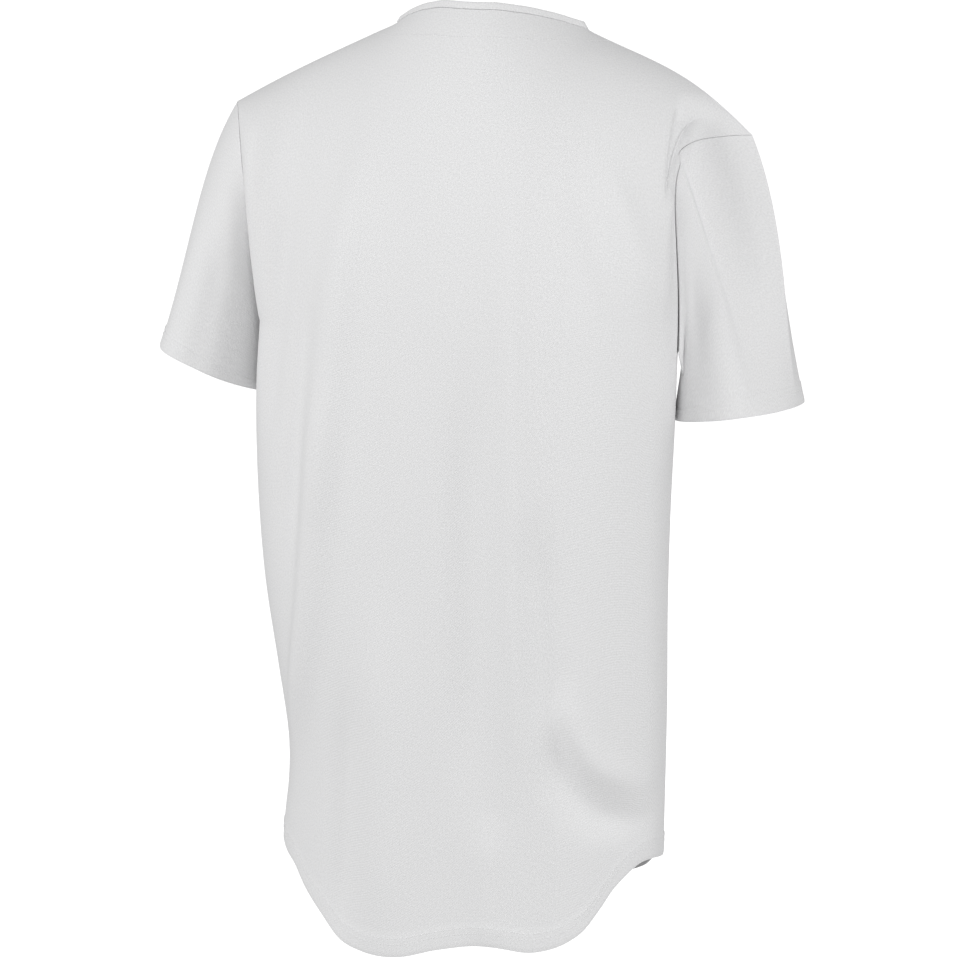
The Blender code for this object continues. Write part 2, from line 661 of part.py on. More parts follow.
def add_button(name, centre, facing):
    """A round button: a dished face inside a raised rim, turned about its own axis."""
    radii = BUTTON_PROFILE["radius_share"] * BUTTON_RADIUS
    heights = BUTTON_PROFILE["height_share"] * BUTTON_THICKNESS
    turn = np.arange(BUTTON_SIDES) / BUTTON_SIDES * 2 * math.pi
    side = unit(np.cross(facing, [0.0, 0.0, 1.0]))
    up = np.cross(side, facing)
    rings = [
        centre + facing * height + radius * (np.cos(turn)[:, None] * side + np.sin(turn)[:, None] * up)
        for radius, height in zip(radii[1:-1], heights[1:-1])
    ]
    points = np.concatenate([*rings, [centre + facing * heights[0], centre + facing * heights[-1]]])
    top, bottom = len(points) - 2, len(points) - 1
    faces = []
    last_ring = (len(rings) - 1) * BUTTON_SIDES
    for step in range(BUTTON_SIDES):
        after = (step + 1) % BUTTON_SIDES
        faces.append((top, after, step))
        faces.append((bottom, last_ring + step, last_ring + after))
        for ring in range(len(rings) - 1):
            low = ring * BUTTON_SIDES
            faces.append((low + step, low + after, low + BUTTON_SIDES + after, low + BUTTON_SIDES + step))
    return add_solid(name, points, faces, BUTTON)


# Buttons: evenly down the upper band, each standing just off its cloth
middle_line = front[:, middle_column] + front_normals[:, middle_column] * (PLACKET_STEP + CLOTH / 2)
first_button_z = middle_line[0, 2] - FIRST_BUTTON_DROP
for number in range(BUTTON_COUNT):
    z = first_button_z + (LAST_BUTTON_Z - first_button_z) * number / (BUTTON_COUNT - 1)
    place = [np.interp(-z, -middle_line[:, 2], middle_line[:, axis]) for axis in range(3)]
    facing = [np.interp(-z, -middle_line[:, 2], front_normals[:, middle_column, axis]) for axis in range(3)]
    facing = unit(np.array(facing))
    add_button(f"button_{number + 1}", np.array(place) + facing * BUTTON_GAP, facing)
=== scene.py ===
"""A plain white short-sleeved baseball jersey in fine knit, filled out as if worn, with nobody in it.

The front faces -Y, the wearer's left is at +X and +Z is up. The sections follow the order of making.
"""

import math

import bpy
import numpy as np
from mathutils import Matrix


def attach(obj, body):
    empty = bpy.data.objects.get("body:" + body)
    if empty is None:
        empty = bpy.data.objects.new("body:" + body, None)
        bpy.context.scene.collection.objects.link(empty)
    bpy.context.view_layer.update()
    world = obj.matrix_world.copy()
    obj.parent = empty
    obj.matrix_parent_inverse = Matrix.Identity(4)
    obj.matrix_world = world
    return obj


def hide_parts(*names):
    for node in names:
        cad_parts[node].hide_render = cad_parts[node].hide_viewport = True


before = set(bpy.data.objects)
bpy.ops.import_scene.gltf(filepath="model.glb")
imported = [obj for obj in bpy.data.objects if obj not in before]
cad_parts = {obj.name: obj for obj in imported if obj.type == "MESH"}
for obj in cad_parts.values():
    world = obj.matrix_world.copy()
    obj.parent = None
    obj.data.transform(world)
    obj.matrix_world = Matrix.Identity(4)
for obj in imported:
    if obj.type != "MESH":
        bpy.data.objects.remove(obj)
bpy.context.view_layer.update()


# Back
# One panel of fine white knit, cut from the yoke seam and the shoulder seams to a shirt-tail hem. It is sewn
# at its top and sides, and its hem is turned in 18 mm and held by two rows of stitches.

MM = 0.001

# Cloth, hem and seam
CLOTH = 1.1 * MM
HEM_CLOTH = 2.2 * MM
HEM_WIDTH = 18.0 * MM
SEAM_GAP = 0.15 * MM
SHARP_ANGLE = math.radians(50)

# Stitches, and how far above the edge the hem's two rows of them lie
STITCH_PITCH = 2.3 * MM
STITCH_LENGTH = 2.0 * MM
STITCH_WIDTH = 0.55 * MM
STITCH_HEIGHT = 0.36 * MM
STITCH_PROUD = 0.2
STITCH_SIDES = 6
HEM_STITCHES = (16.0 * MM, 11.0 * MM)

# Levels, points and powers that drive the shape
UNDERARM_Z = -0.248
SHOULDER_TIP_Y = 0.006
SHOULDER_TIP_Z = -0.072
SHOULDER_BOW_SKEW = 1.35
NECK_POINT = np.array([0.083, 0.004, 0.001])
YOKE_MIDDLE_Y = 0.077
ARMHOLE_FRONT = -0.066
ARMHOLE_BELLY_POWER = 0.85
ARMHOLE_RISE_POWER = 1.1
ARMHOLE_INWARD_POWER = 2.0
SHOULDER_TURN = math.radians(84)
SHOULDER_KNOTS = 8
FRONT_DRAW_FROM = 0.45
DRAW_POWER = 1.5
LEAN_POWER = 1.6
NECK_SHARE = 0.33
YOKE_SHARE = 0.42

# The tuck by the right shoulder blade
TUCK_X = -0.171
TUCK_SLANT = 0.08
TUCK_TOP_Z = -0.040
TUCK_END_Z = -0.125
TUCK_EDGE = 0.004
TUCK_RETURN = 0.034
TUCK_FADE = 0.018
TUCK_DEPTH = 0.0085

# How the folds start, end and fade: at their own ends, towards side seams and below an upper seam
FOLD_END = 0.25
FOLD_FADE = 0.16
FOLD_GROWTH = 3.0

# Rows and columns of the surface
SEAM_ROWS = 6
SEAM_ROW_CLIMB = 0.004
UPPER_ROWS = 52
LOWER_ROWS = 84
HEM_ROWS = 8
YOKE_HALF_CELLS = 32
BACK_OUTER_CELLS = 60


def table(columns, rows):
    """A short table as one array for each named column."""
    return dict(zip(columns, np.array(rows, float).T))


# A stitch: how far along its half length each of its rings lies, and how much of the full girth it has
STITCH_ENDS = table(("reach", "girth"), [(-1.0, 0.30), (-0.6, 1.00), (0.6, 1.00), (1.0, 0.30)])

# The torso below the underarms: a level section for each row, lowest first
BODY = table(
    ("height", "half_width", "middle_x", "side_y", "back_y", "front_y"),
    [
        (-0.780, 0.1620, -0.0110, 0.006, 0.116, -0.114),
        (-0.690, 0.1620, -0.0110, 0.006, 0.116, -0.116),
        (-0.600, 0.1620, -0.0100, 0.006, 0.119, -0.117),
        (-0.540, 0.1655, -0.0060, 0.008, 0.123, -0.117),
        (-0.460, 0.1710, 0.0010, 0.012, 0.128, -0.117),
        (-0.380, 0.1745, 0.0040, 0.017, 0.132, -0.118),
        (-0.300, 0.1765, 0.0040, 0.021, 0.134, -0.121),
        (-0.248, 0.1755, 0.0030, 0.022, 0.134, -0.122),
    ],
)

# The hem of the back, from the wearer's right side seam to the left one: a shirt tail in two soft lobes
BACK_HEM = table(
    ("across", "height"),
    [
        (-1.00, -0.6693),
        (-0.90, -0.6670),
        (-0.80, -0.6695),
        (-0.71, -0.6803),
        (-0.66, -0.6893),
        (-0.60, -0.7060),
        (-0.53, -0.7250),
        (-0.47, -0.7350),
        (-0.35, -0.7458),
        (-0.17, -0.7448),
        (-0.04, -0.7528),
        (0.10, -0.7640),
        (0.24, -0.7640),
        (0.34, -0.7570),
        (0.43, -0.7385),
        (0.52, -0.7220),
        (0.60, -0.7067),
        (0.70, -0.6987),
        (0.85, -0.6920),
        (1.00, -0.6900),
    ],
)

# What differs between the wearer's two sides: the shoulder's tip and line, how far the side seam lies out and
# back, how square the sections are, where the cloth is first drawn to the armhole, the armhole's own turn and
# belly, and how far the front's hem is moved up at the side seam
SIDES = {
    "left": {
        "sign": 1.0,
        "tip_x": 0.224,
        "neck_lift": 0.0005,
        "shoulder_bow": 0.0020,
        "side_out": 0.0030,
        "side_back": 0.0,
        "back_squareness": 2.45,
        "front_squareness": 2.15,
        "back_draw_from": 0.45,
        "armhole_turn": 2.4,
        "armhole_back": 0.056,
        "armhole_inward": 0.0,
        "notch_shift": -0.01035,
    },
    "right": {
        "sign": -1.0,
        "tip_x": 0.228,
        "neck_lift": 0.0045,
        "shoulder_bow": 0.0110,
        "side_out": 0.0150,
        "side_back": 0.0340,
        "back_squareness": 2.90,
        "front_squareness": 1.34,
        "back_draw_from": 0.78,
        "armhole_turn": 4.0,
        "armhole_back": 0.010,
        "armhole_inward": 0.020,
        "notch_shift": 0.01035,
    },
}

# The shoulders' top line where the neck is: how much of the way down it has come at each x
NECK_MIDDLE_Z = 0.0607
NECK_HUMP = table(
    ("x", "drop"),
    [(0.000, 0.00), (0.020, 0.09), (0.040, 0.36), (0.060, 0.68), (0.083, 1.00)],
)

# Folds of the back: ends of each fold by x and z, half width, and height (a trough is negative)
FOLD_COLUMNS = ("x_top", "z_top", "x_end", "z_end", "bend", "half_width", "height")
BACK_FOLDS = table(
    FOLD_COLUMNS,
    [
        (0.074, -0.120, 0.092, -0.360, 0.000, 0.017, 0.0090),
        (0.092, -0.330, 0.130, -0.590, 0.006, 0.017, 0.0110),
        (0.116, -0.200, 0.124, -0.440, 0.000, 0.015, -0.0070),
        (0.122, -0.450, 0.146, -0.640, 0.000, 0.015, -0.0060),
        (0.140, -0.150, 0.150, -0.330, 0.000, 0.013, -0.0060),
        (0.028, -0.160, 0.014, -0.520, 0.000, 0.022, -0.0040),
        (-0.034, -0.300, -0.045, -0.590, 0.000, 0.020, -0.0065),
        (-0.064, -0.130, -0.086, -0.540, 0.000, 0.017, 0.0060),
        (-0.098, -0.400, -0.112, -0.560, 0.000, 0.018, -0.0055),
        (-0.114, -0.570, -0.178, -0.636, -0.016, 0.017, -0.0080),
        (-0.122, -0.530, -0.172, -0.600, -0.010, 0.013, 0.0045),
        (-0.122, -0.130, -0.180, -0.250, 0.000, 0.012, -0.0045),
        (-0.142, -0.110, -0.184, -0.200, 0.000, 0.010, 0.0035),
        (0.040, -0.500, 0.030, -0.750, 0.000, 0.020, 0.0050),
        (0.070, -0.560, 0.072, -0.740, 0.000, 0.013, -0.0045),
        (-0.060, -0.650, -0.064, -0.750, 0.000, 0.015, 0.0045),
    ],
)


def follow(at, knots, values):
    """A smooth curve through the values at the knots: cubic pieces with matching slopes."""
    slopes = np.gradient(values, knots)
    at = np.clip(at, knots[0], knots[-1])
    low = np.clip(np.searchsorted(knots, at, side="right") - 1, 0, len(knots) - 2)
    width = knots[low + 1] - knots[low]
    t = (at - knots[low]) / width
    first = (1 + 2 * t) * (1 - t) ** 2 * values[low] + t * (1 - t) ** 2 * width * slopes[low]
    second = t**2 * (3 - 2 * t) * values[low + 1] - t**2 * (1 - t) * width * slopes[low + 1]
    return first + second


def unit(vectors):
    """Each vector divided by its own length."""
    return vectors / np.linalg.norm(vectors, axis=-1, keepdims=True)


def smooth_step(share):
    """Rises from 0 to 1 with level ends: three times the square less twice the cube."""
    share = np.clip(share, 0.0, 1.0)
    return share * share * (3 - 2 * share)


def by_side(across, name):
    """The named value of the side that each point lies on."""
    return np.where(across >= 0, SIDES["left"][name], SIDES["right"][name])


def spread(start, end, cells):
    """Evenly spaced values from start to end, one more than the cells between them."""
    return np.linspace(start, end, cells + 1)


def body_point(across, height, is_back):
    """The torso below the underarms: at each height half of a superellipse, by a sine of across (-1 to 1)."""
    half_width = follow(height, BODY["height"], BODY["half_width"]) + by_side(across, "side_out")
    side_y = follow(height, BODY["height"], BODY["side_y"]) + by_side(across, "side_back")
    middle_x = follow(height, BODY["height"], BODY["middle_x"])
    deep_y = follow(height, BODY["height"], BODY["back_y" if is_back else "front_y"])
    squareness = by_side(across, "back_squareness" if is_back else "front_squareness")
    reach = np.sin(across * math.pi / 2)
    rise = np.clip(1 - np.abs(reach) ** squareness, 0, 1) ** (1 / squareness)
    x = middle_x + half_width * reach
    return np.stack([x, side_y + (deep_y - side_y) * rise, height + 0 * x], axis=-1)


def ridge_knots():
    """The shoulders' top line by x and z: a slope with a skewed half sine on it, and a hump at the neck."""
    places, heights = [], []
    for side, order in (("right", -1), ("left", 1)):
        share = spread(0, 1, SHOULDER_KNOTS)[1:]
        x = NECK_POINT[0] + share * (SIDES[side]["tip_x"] - NECK_POINT[0])
        neck_z = NECK_POINT[2] + SIDES[side]["neck_lift"]
        bow = SIDES[side]["shoulder_bow"] * np.sin(math.pi * share**SHOULDER_BOW_SKEW)
        z = neck_z + share * (SHOULDER_TIP_Z - neck_z) + bow
        x = np.concatenate([NECK_HUMP["x"], x])
        z = np.concatenate([NECK_MIDDLE_Z - (NECK_MIDDLE_Z - neck_z) * NECK_HUMP["drop"], z])
        places.append(x[::order] * order)
        heights.append(z[::order])
    places[1], heights[1] = places[1][1:], heights[1][1:]
    return np.concatenate(places), np.concatenate(heights)


RIDGE_X, RIDGE_Z = ridge_knots()


def shoulder_point(x):
    """The shoulders' top line at x. Outside the neck points it is the shoulder seam."""
    share = np.clip((np.abs(x) - NECK_POINT[0]) / (by_side(x, "tip_x") - NECK_POINT[0]), 0, 1)
    y = NECK_POINT[1] + share * (SHOULDER_TIP_Y - NECK_POINT[1])
    return np.stack([x, y, follow(x, RIDGE_X, RIDGE_Z)], axis=-1)


def shoulder_normals(x):
    """Normals of the shoulder seam that lean neither to the front nor to the back."""
    slope = (shoulder_point(x + MM)[..., 2] - shoulder_point(x - MM)[..., 2]) / (2 * MM)
    return unit(np.stack([-slope, 0 * x, 1 + 0 * x], axis=-1))


def armhole_point(climb, across, is_back):
    """The armhole from the underarm (0) to the shoulder tip (1): a sine belly to the back or to the front."""
    sign = np.where(across >= 0, 1.0, -1.0)
    underarm = body_point(sign, UNDERARM_Z + 0 * sign, True)
    swell = np.clip(np.sin(math.pi * climb), 0, 1) ** ARMHOLE_BELLY_POWER
    belly = (by_side(across, "armhole_back") if is_back else ARMHOLE_FRONT) * swell
    late_swell = np.sin(math.pi * climb**ARMHOLE_INWARD_POWER)
    inward = by_side(across, "armhole_inward") * late_swell if is_back else 0.0
    out = climb ** by_side(across, "armhole_turn")
    x = underarm[..., 0] + (sign * by_side(across, "tip_x") - underarm[..., 0]) * out - sign * inward
    y = underarm[..., 1] + (SHOULDER_TIP_Y - underarm[..., 1]) * climb + belly
    z = UNDERARM_Z + (SHOULDER_TIP_Z - UNDERARM_Z) * np.sin(climb * math.pi / 2) ** ARMHOLE_RISE_POWER
    return np.stack([x, y, z], axis=-1)


def turned_over(bottom, top, climb, end):
    """Part of an ellipse from bottom, where it stands upright, to top, where it has turned by an angle."""
    turn = climb * end
    weights = [climb**LEAN_POWER, (1 - np.cos(turn)) / (1 - np.cos(end)), np.sin(turn) / np.sin(end)]
    weights = np.stack(weights, axis=-1)
    return bottom + (top - bottom) * weights


def ridge_place(across, neck_share):
    """Where a panel's column meets the shoulders' top line, by a smooth curve through neck point and tip."""
    knots = np.array([-1.0, -neck_share, 0.0, neck_share, 1.0])
    right_tip, left_tip = -SIDES["right"]["tip_x"], SIDES["left"]["tip_x"]
    places = np.array([right_tip, -NECK_POINT[0], 0.0, NECK_POINT[0], left_tip])
    return shoulder_point(follow(across, knots, places))


def upper_point(across, climb, is_back, neck_share):
    """The cloth above the underarms, turned over to the shoulders' top line and drawn to the armhole."""
    level = UNDERARM_Z + 0 * across
    edge = np.where(across >= 0, 1.0, -1.0)
    bottom, top = body_point(across, level, is_back), ridge_place(across, neck_share)
    edge_bottom, edge_top = body_point(edge, level, is_back), ridge_place(edge, neck_share)
    point = turned_over(bottom, top, climb, SHOULDER_TURN)
    drawn = armhole_point(climb, across, is_back) - turned_over(edge_bottom, edge_top, climb, SHOULDER_TURN)
    draw_from = by_side(across, "back_draw_from") if is_back else FRONT_DRAW_FROM
    pull = smooth_step((np.abs(across) - draw_from) / (1 - draw_from))[..., None] ** DRAW_POWER
    return point + drawn * pull


def arch_climb(across, end_share, middle_y, is_back, neck_share, power=1.0):
    """How far up each column a seam lies that arches by a cosine's power from middle_y to the top line."""
    bottom_y = body_point(across, UNDERARM_Z + 0 * across, is_back)[..., 1]
    top_y = ridge_place(across, neck_share)[..., 1]
    arch = np.clip(np.cos(np.clip(across / end_share, -1, 1) * math.pi / 2), 0, 1) ** power
    y = top_y + (middle_y - top_y) * arch
    turn = np.arccos(1 - (y - bottom_y) / (top_y - bottom_y) * (1 - math.cos(SHOULDER_TURN)))
    return np.clip(turn / SHOULDER_TURN, 0, 1)


def fold_height(x, z, folds):
    """Sum of the folds: round each fold's line a bell across it, with soft ends."""
    height = np.zeros_like(x)
    for row in range(len(folds["height"])):
        start = np.array([folds["x_top"][row], folds["z_top"][row]])
        along = np.array([folds["x_end"][row], folds["z_end"][row]]) - start
        length = np.linalg.norm(along)
        offset = np.stack([x - start[0], z - start[1]], axis=-1)
        share = offset @ along / length**2
        apart = (offset[..., 0] * along[1] - offset[..., 1] * along[0]) / length
        apart = apart - folds["bend"][row] * 4 * share * (1 - share)
        starts = smooth_step((share + FOLD_END) / (2 * FOLD_END))
        ends = smooth_step((1 + FOLD_END - share) / (2 * FOLD_END))
        height += folds["height"][row] * starts * ends * np.exp(-((apart / folds["half_width"][row]) ** 2))
    return height


def grid_normals(points, closed_across=False):
    """Outward unit normals: the slope down the grid crossed with the slope across it."""
    down = np.gradient(points, axis=0)
    if closed_across:
        looped = np.concatenate([points[:, -1:], points, points[:, :1]], axis=1)
        across = (looped[:, 2:] - looped[:, :-2]) / 2
    else:
        across = np.gradient(points, axis=1)
    return unit(np.cross(down, across))


def pull_in(points, distance, edges):
    """Moves the named edges of a grid inwards along the surface, which leaves the gap at a seam."""
    moved = points.copy()
    if "top" in edges:
        moved[0] += unit(points[1] - points[0]) * distance
    if "bottom" in edges:
        moved[-1] += unit(points[-2] - points[-1]) * distance
    if "first" in edges:
        moved[:, 0] += unit(points[:, 1] - points[:, 0]) * distance
    if "last" in edges:
        moved[:, -1] += unit(points[:, -2] - points[:, -1]) * distance
    return moved


def panel_grid(across, top_climb, is_back, neck_share, hem):
    """A panel's middle surface: close rows at the seam, the turned-over part, the torso and the hem."""
    near_seam = 1 - SEAM_ROW_CLIMB * np.arange(SEAM_ROWS)
    shares = np.concatenate([near_seam, spread(1 - SEAM_ROW_CLIMB * SEAM_ROWS, 0, UPPER_ROWS)])
    upper = [upper_point(across, share * top_climb, is_back, neck_share) for share in shares]
    hem_top = hem + HEM_WIDTH
    body_levels = UNDERARM_Z + (hem_top - UNDERARM_Z) * spread(0, 1, LOWER_ROWS)[1:, None]
    hem_levels = hem_top - HEM_WIDTH * spread(0, 1, HEM_ROWS)[1:, None]
    lower = [body_point(across, level, is_back) for level in np.concatenate([body_levels, hem_levels])]
    return np.array(upper + lower), shares


def with_folds(points, across, folds, top_fade):
    """The panel pushed in and out by its folds, which fade towards its upper edge and its side edges."""
    sides = smooth_step((1 - np.abs(across)) / FOLD_FADE)[None, :]
    height = fold_height(points[..., 0], points[..., 2], folds) * sides * top_fade[:, None]
    return points + grid_normals(points) * height[..., None]


def with_tuck(points):
    """A sharp crease by the right shoulder blade: past its line the cloth steps in and comes back slowly."""
    x, z = points[..., 0], points[..., 2]
    beyond = TUCK_X + (z - TUCK_TOP_Z) * TUCK_SLANT - x
    step = smooth_step(beyond / TUCK_EDGE) * (1 - smooth_step((beyond - TUCK_EDGE) / TUCK_RETURN))
    window = smooth_step((TUCK_TOP_Z - z) / TUCK_FADE) * smooth_step((z - TUCK_END_Z) / TUCK_FADE)
    return points - grid_normals(points) * (TUCK_DEPTH * step * window)[..., None]


def top_fade_of(climbs):
    """How far the folds have grown at each row: none at the seam, and all from a third of the way down."""
    rows = np.concatenate([1 - climbs, np.ones(LOWER_ROWS + HEM_ROWS)])
    return smooth_step(rows * FOLD_GROWTH)


def hem_thickness(points):
    """Single cloth, and the turned cloth over the hem's rows, with a thin edge."""
    thickness = np.full(points.shape[:2], CLOTH)
    thickness[-HEM_ROWS:] = HEM_CLOTH
    thickness[-1] = CLOTH
    return thickness


def wall(points, normals, thickness, closed_across):
    """A closed wall round a grid, half its thickness to each side, and each corner's place on the cut."""
    rows, columns = points.shape[:2]
    cells = columns if closed_across else columns - 1
    half = np.broadcast_to(thickness / 2, (rows, columns))[..., None]
    outer, inner = points + normals * half, points - normals * half
    both = np.concatenate([outer.reshape(-1, 3), inner.reshape(-1, 3)])
    ring = np.concatenate([points, points[:, :1]], axis=1) if closed_across else points
    across = np.linalg.norm(np.diff(ring, axis=1), axis=-1).cumsum(axis=1)
    across = np.concatenate([np.zeros((rows, 1)), across], axis=1)
    down = np.linalg.norm(np.diff(ring, axis=0), axis=-1).cumsum(axis=0)
    down = np.concatenate([np.zeros((1, cells + 1)), down])
    cut = np.stack([across - across[:, -1:] / 2, -down], axis=-1).reshape(-1, 2)
    row, cell = np.meshgrid(np.arange(rows - 1), np.arange(cells), indexing="ij")
    face_rows = (row[..., None] + [0, 1, 1, 0]).reshape(-1, 4)
    face_cells = (cell[..., None] + [0, 0, 1, 1]).reshape(-1, 4)
    edge, zero = np.arange(cells), np.zeros(cells, int)
    rims = [(zero, edge, zero, edge + 1), (zero + rows - 1, edge + 1, zero + rows - 1, edge)]
    if not closed_across:
        side, none = np.arange(rows - 1), np.zeros(rows - 1, int)
        rims += [(side + 1, none, side, none), (side, none + cells, side + 1, none + cells)]
    inside = rows * columns
    faces = face_rows * columns + face_cells % columns
    places = face_rows * (cells + 1) + face_cells
    all_faces, all_places = [faces, faces[:, ::-1] + inside], [places, places[:, ::-1]]
    for first_row, first_cell, last_row, last_cell in rims:
        first = first_row * columns + first_cell % columns
        last = last_row * columns + last_cell % columns
        all_faces.append(np.stack([first, last, last + inside, first + inside], axis=-1))
        first_place = first_row * (cells + 1) + first_cell
        last_place = last_row * (cells + 1) + last_cell
        all_places.append(np.stack([first_place, last_place, last_place, first_place], axis=-1))
    return both, np.concatenate(all_faces), cut[np.concatenate(all_places).ravel()]


def add_mesh(name, points, faces, finish, cut=None):
    """One piece from its points and faces, which rides on the jersey and takes the cut as its UV map if one
    is given.
    """
    mesh = bpy.data.meshes.new(name)
    mesh.from_pydata(points, [], faces)
    mesh.materials.append(finish)
    if cut is not None:
        mesh.uv_layers.new(name="cut").data.foreach_set("uv", cut.astype(np.float32).ravel())
    mesh.shade_smooth()
    mesh.set_sharp_from_angle(angle=SHARP_ANGLE)
    made = bpy.data.objects.new(name, mesh)
    bpy.context.scene.collection.objects.link(made)
    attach(made, "root")
    return made


def add_cloth(name, points, normals, thickness, finish, closed_across=False):
    """A piece of cloth as a closed wall that stands for the solid of the same cut."""
    both, faces, cut = wall(points, normals, thickness, closed_across)
    return add_mesh(name, both, faces, finish, cut)


def grid_row(points, row):
    """A line across a grid at a fractional row, a straight blend of the rows on both sides of it."""
    low = int(np.floor(row))
    share = row - low
    return points[low] * (1 - share) + points[min(low + 1, len(points) - 1)] * share


def stitch_line(line, normals, lift, closed=False):
    """Stitches along a line: a capsule of rings at each pitch, which lies along it on the cloth's face."""
    if closed:
        line, normals = np.concatenate([line, line[:1]]), np.concatenate([normals, normals[:1]])
    along = np.concatenate([[0.0], np.linalg.norm(np.diff(line, axis=0), axis=-1).cumsum()])
    count = int(along[-1] / STITCH_PITCH)
    middles = (np.arange(count) + 0.5) * along[-1] / count
    places = np.stack([np.interp(middles, along, line[:, axis]) for axis in range(3)], axis=-1)
    ahead = np.stack([np.interp(middles + MM, along, line[:, axis]) for axis in range(3)], axis=-1)
    behind = np.stack([np.interp(middles - MM, along, line[:, axis]) for axis in range(3)], axis=-1)
    facing = unit(np.stack([np.interp(middles, along, normals[:, axis]) for axis in range(3)], axis=-1))
    forward = unit(ahead - behind)
    sideways = unit(np.cross(facing, forward))
    facing = np.cross(forward, sideways)
    turn = np.arange(STITCH_SIDES) / STITCH_SIDES * 2 * math.pi
    reach = (STITCH_ENDS["reach"] * STITCH_LENGTH / 2)[:, None] + 0 * turn
    wide = STITCH_ENDS["girth"][:, None] * np.cos(turn) * STITCH_WIDTH / 2
    high = STITCH_ENDS["girth"][:, None] * np.sin(turn) * STITCH_HEIGHT / 2
    local = np.stack([reach, wide, high], axis=-1).reshape(-1, 3)
    axes = np.stack([forward, sideways, facing], axis=1)
    centres = places + facing * (lift + STITCH_HEIGHT * STITCH_PROUD)
    points = (centres[:, None] + local[None] @ axes).reshape(-1, 3)
    rings = len(STITCH_ENDS["reach"])
    ring, side = np.meshgrid(np.arange(rings - 1), np.arange(STITCH_SIDES), indexing="ij")
    after = (side + 1) % STITCH_SIDES
    here, there = ring * STITCH_SIDES, (ring + 1) * STITCH_SIDES
    quads = np.stack([here + side, here + after, there + after, there + side], axis=-1).reshape(-1, 4)
    last = (rings - 1) * STITCH_SIDES
    end = np.array([[0, corner, corner + 1, corner + 2] for corner in range(1, STITCH_SIDES - 2, 2)])
    template = np.concatenate([quads, end[:, ::-1], end + last])
    faces = (template[None] + (np.arange(count) * len(local))[:, None, None]).reshape(-1, 4)
    return points, faces


def add_stitches(name, lines):
    """Several lines of stitches joined into one piece of thread."""
    points, faces, start = [], [], 0
    for line_points, line_faces in lines:
        points.append(line_points)
        faces.append(line_faces + start)
        start += len(line_points)
    return add_mesh(name, np.concatenate(points), np.concatenate(faces), THREAD)


def hem_lines(points, normals, closed=False):
    """The two rows of stitches of a turned hem, 16 mm and 11 mm above its edge."""
    lines = []
    for above in HEM_STITCHES:
        row = len(points) - 1 - HEM_ROWS * above / HEM_WIDTH
        lines.append(stitch_line(grid_row(points, row), grid_row(normals, row), HEM_CLOTH / 2, closed))
    return lines


def add_node(tree, kind, **values):
    """A new shader node with its inputs and settings given by name."""
    node = tree.nodes.new(kind)
    for name, value in values.items():
        if name in node.inputs:
            node.inputs[name].default_value = value
        else:
            setattr(node, name, value)
    return node


# The knit's finish: a faint grain of two whites, two sets of slanting ribs, and a soft matte sheen
GRAIN_SCALE = 700.0
GRAIN_DETAIL = 2.0
GRAIN_STOPS = (0.3, 0.7)
GRAIN_COLOURS = ((0.75, 0.75, 0.755, 1.0), (0.85, 0.85, 0.855, 1.0))
RIB_PITCH = 1.7 * MM
RIB_DEPTH = 0.12 * MM
RIB_STRENGTH = 0.6
RIB_TURNS = (math.radians(52), math.radians(-38))
SECOND_RIB_SHARE = 0.45
KNIT_ROUGHNESS = 0.82
KNIT_SHEEN = 0.15
KNIT_SHEEN_ROUGHNESS = 0.5


def wave_scale(pitch):
    """A wave texture's scale for one band each pitch: a full turn, 2 pi, over twenty pitches."""
    return 2 * math.pi / (20 * pitch)


def knit_material(name, rib_pitch, rib_depth):
    """White knit: two sets of fine slanting ribs as a bump, a faint grain of the yarn and a soft sheen."""
    made = bpy.data.materials.new(name)
    made.use_nodes = True
    tree = made.node_tree
    shader = tree.nodes["Principled BSDF"]
    shader.inputs["Roughness"].default_value = KNIT_ROUGHNESS
    shader.inputs["Sheen Weight"].default_value = KNIT_SHEEN
    shader.inputs["Sheen Roughness"].default_value = KNIT_SHEEN_ROUGHNESS
    place = add_node(tree, "ShaderNodeUVMap", uv_map="cut")
    grain = add_node(tree, "ShaderNodeTexNoise", Scale=GRAIN_SCALE, Detail=GRAIN_DETAIL)
    ramp = add_node(tree, "ShaderNodeValToRGB")
    for element, position, colour in zip(ramp.color_ramp.elements, GRAIN_STOPS, GRAIN_COLOURS):
        element.position = position
        element.color = colour
    tree.links.new(place.outputs["UV"], grain.inputs["Vector"])
    tree.links.new(grain.outputs["Fac"], ramp.inputs["Fac"])
    tree.links.new(ramp.outputs["Color"], shader.inputs["Base Color"])
    heights = []
    for turn in RIB_TURNS:
        turned = add_node(tree, "ShaderNodeMapping", Rotation=(0, 0, turn))
        ribs = add_node(tree, "ShaderNodeTexWave", Scale=wave_scale(rib_pitch), Distortion=0.0)
        tree.links.new(place.outputs["UV"], turned.inputs["Vector"])
        tree.links.new(turned.outputs["Vector"], ribs.inputs["Vector"])
        heights.append(ribs.outputs["Fac"])
    joined = add_node(tree, "ShaderNodeMath", operation="MULTIPLY_ADD")
    joined.inputs[1].default_value = SECOND_RIB_SHARE
    tree.links.new(heights[1], joined.inputs[0])
    tree.links.new(heights[0], joined.inputs[2])
    bump = add_node(tree, "ShaderNodeBump", Strength=RIB_STRENGTH, Distance=rib_depth)
    tree.links.new(joined.outputs["Value"], bump.inputs["Height"])
    tree.links.new(bump.outputs["Normal"], shader.inputs["Normal"])
    return made


# The thread's finish: plain white with a fine twist
THREAD_COLOUR = (0.84, 0.84, 0.845, 1.0)
THREAD_ROUGHNESS = 0.55
TWIST_PITCH = 0.5 * MM
TWIST_DEPTH = 0.05 * MM
TWIST_STRENGTH = 0.4


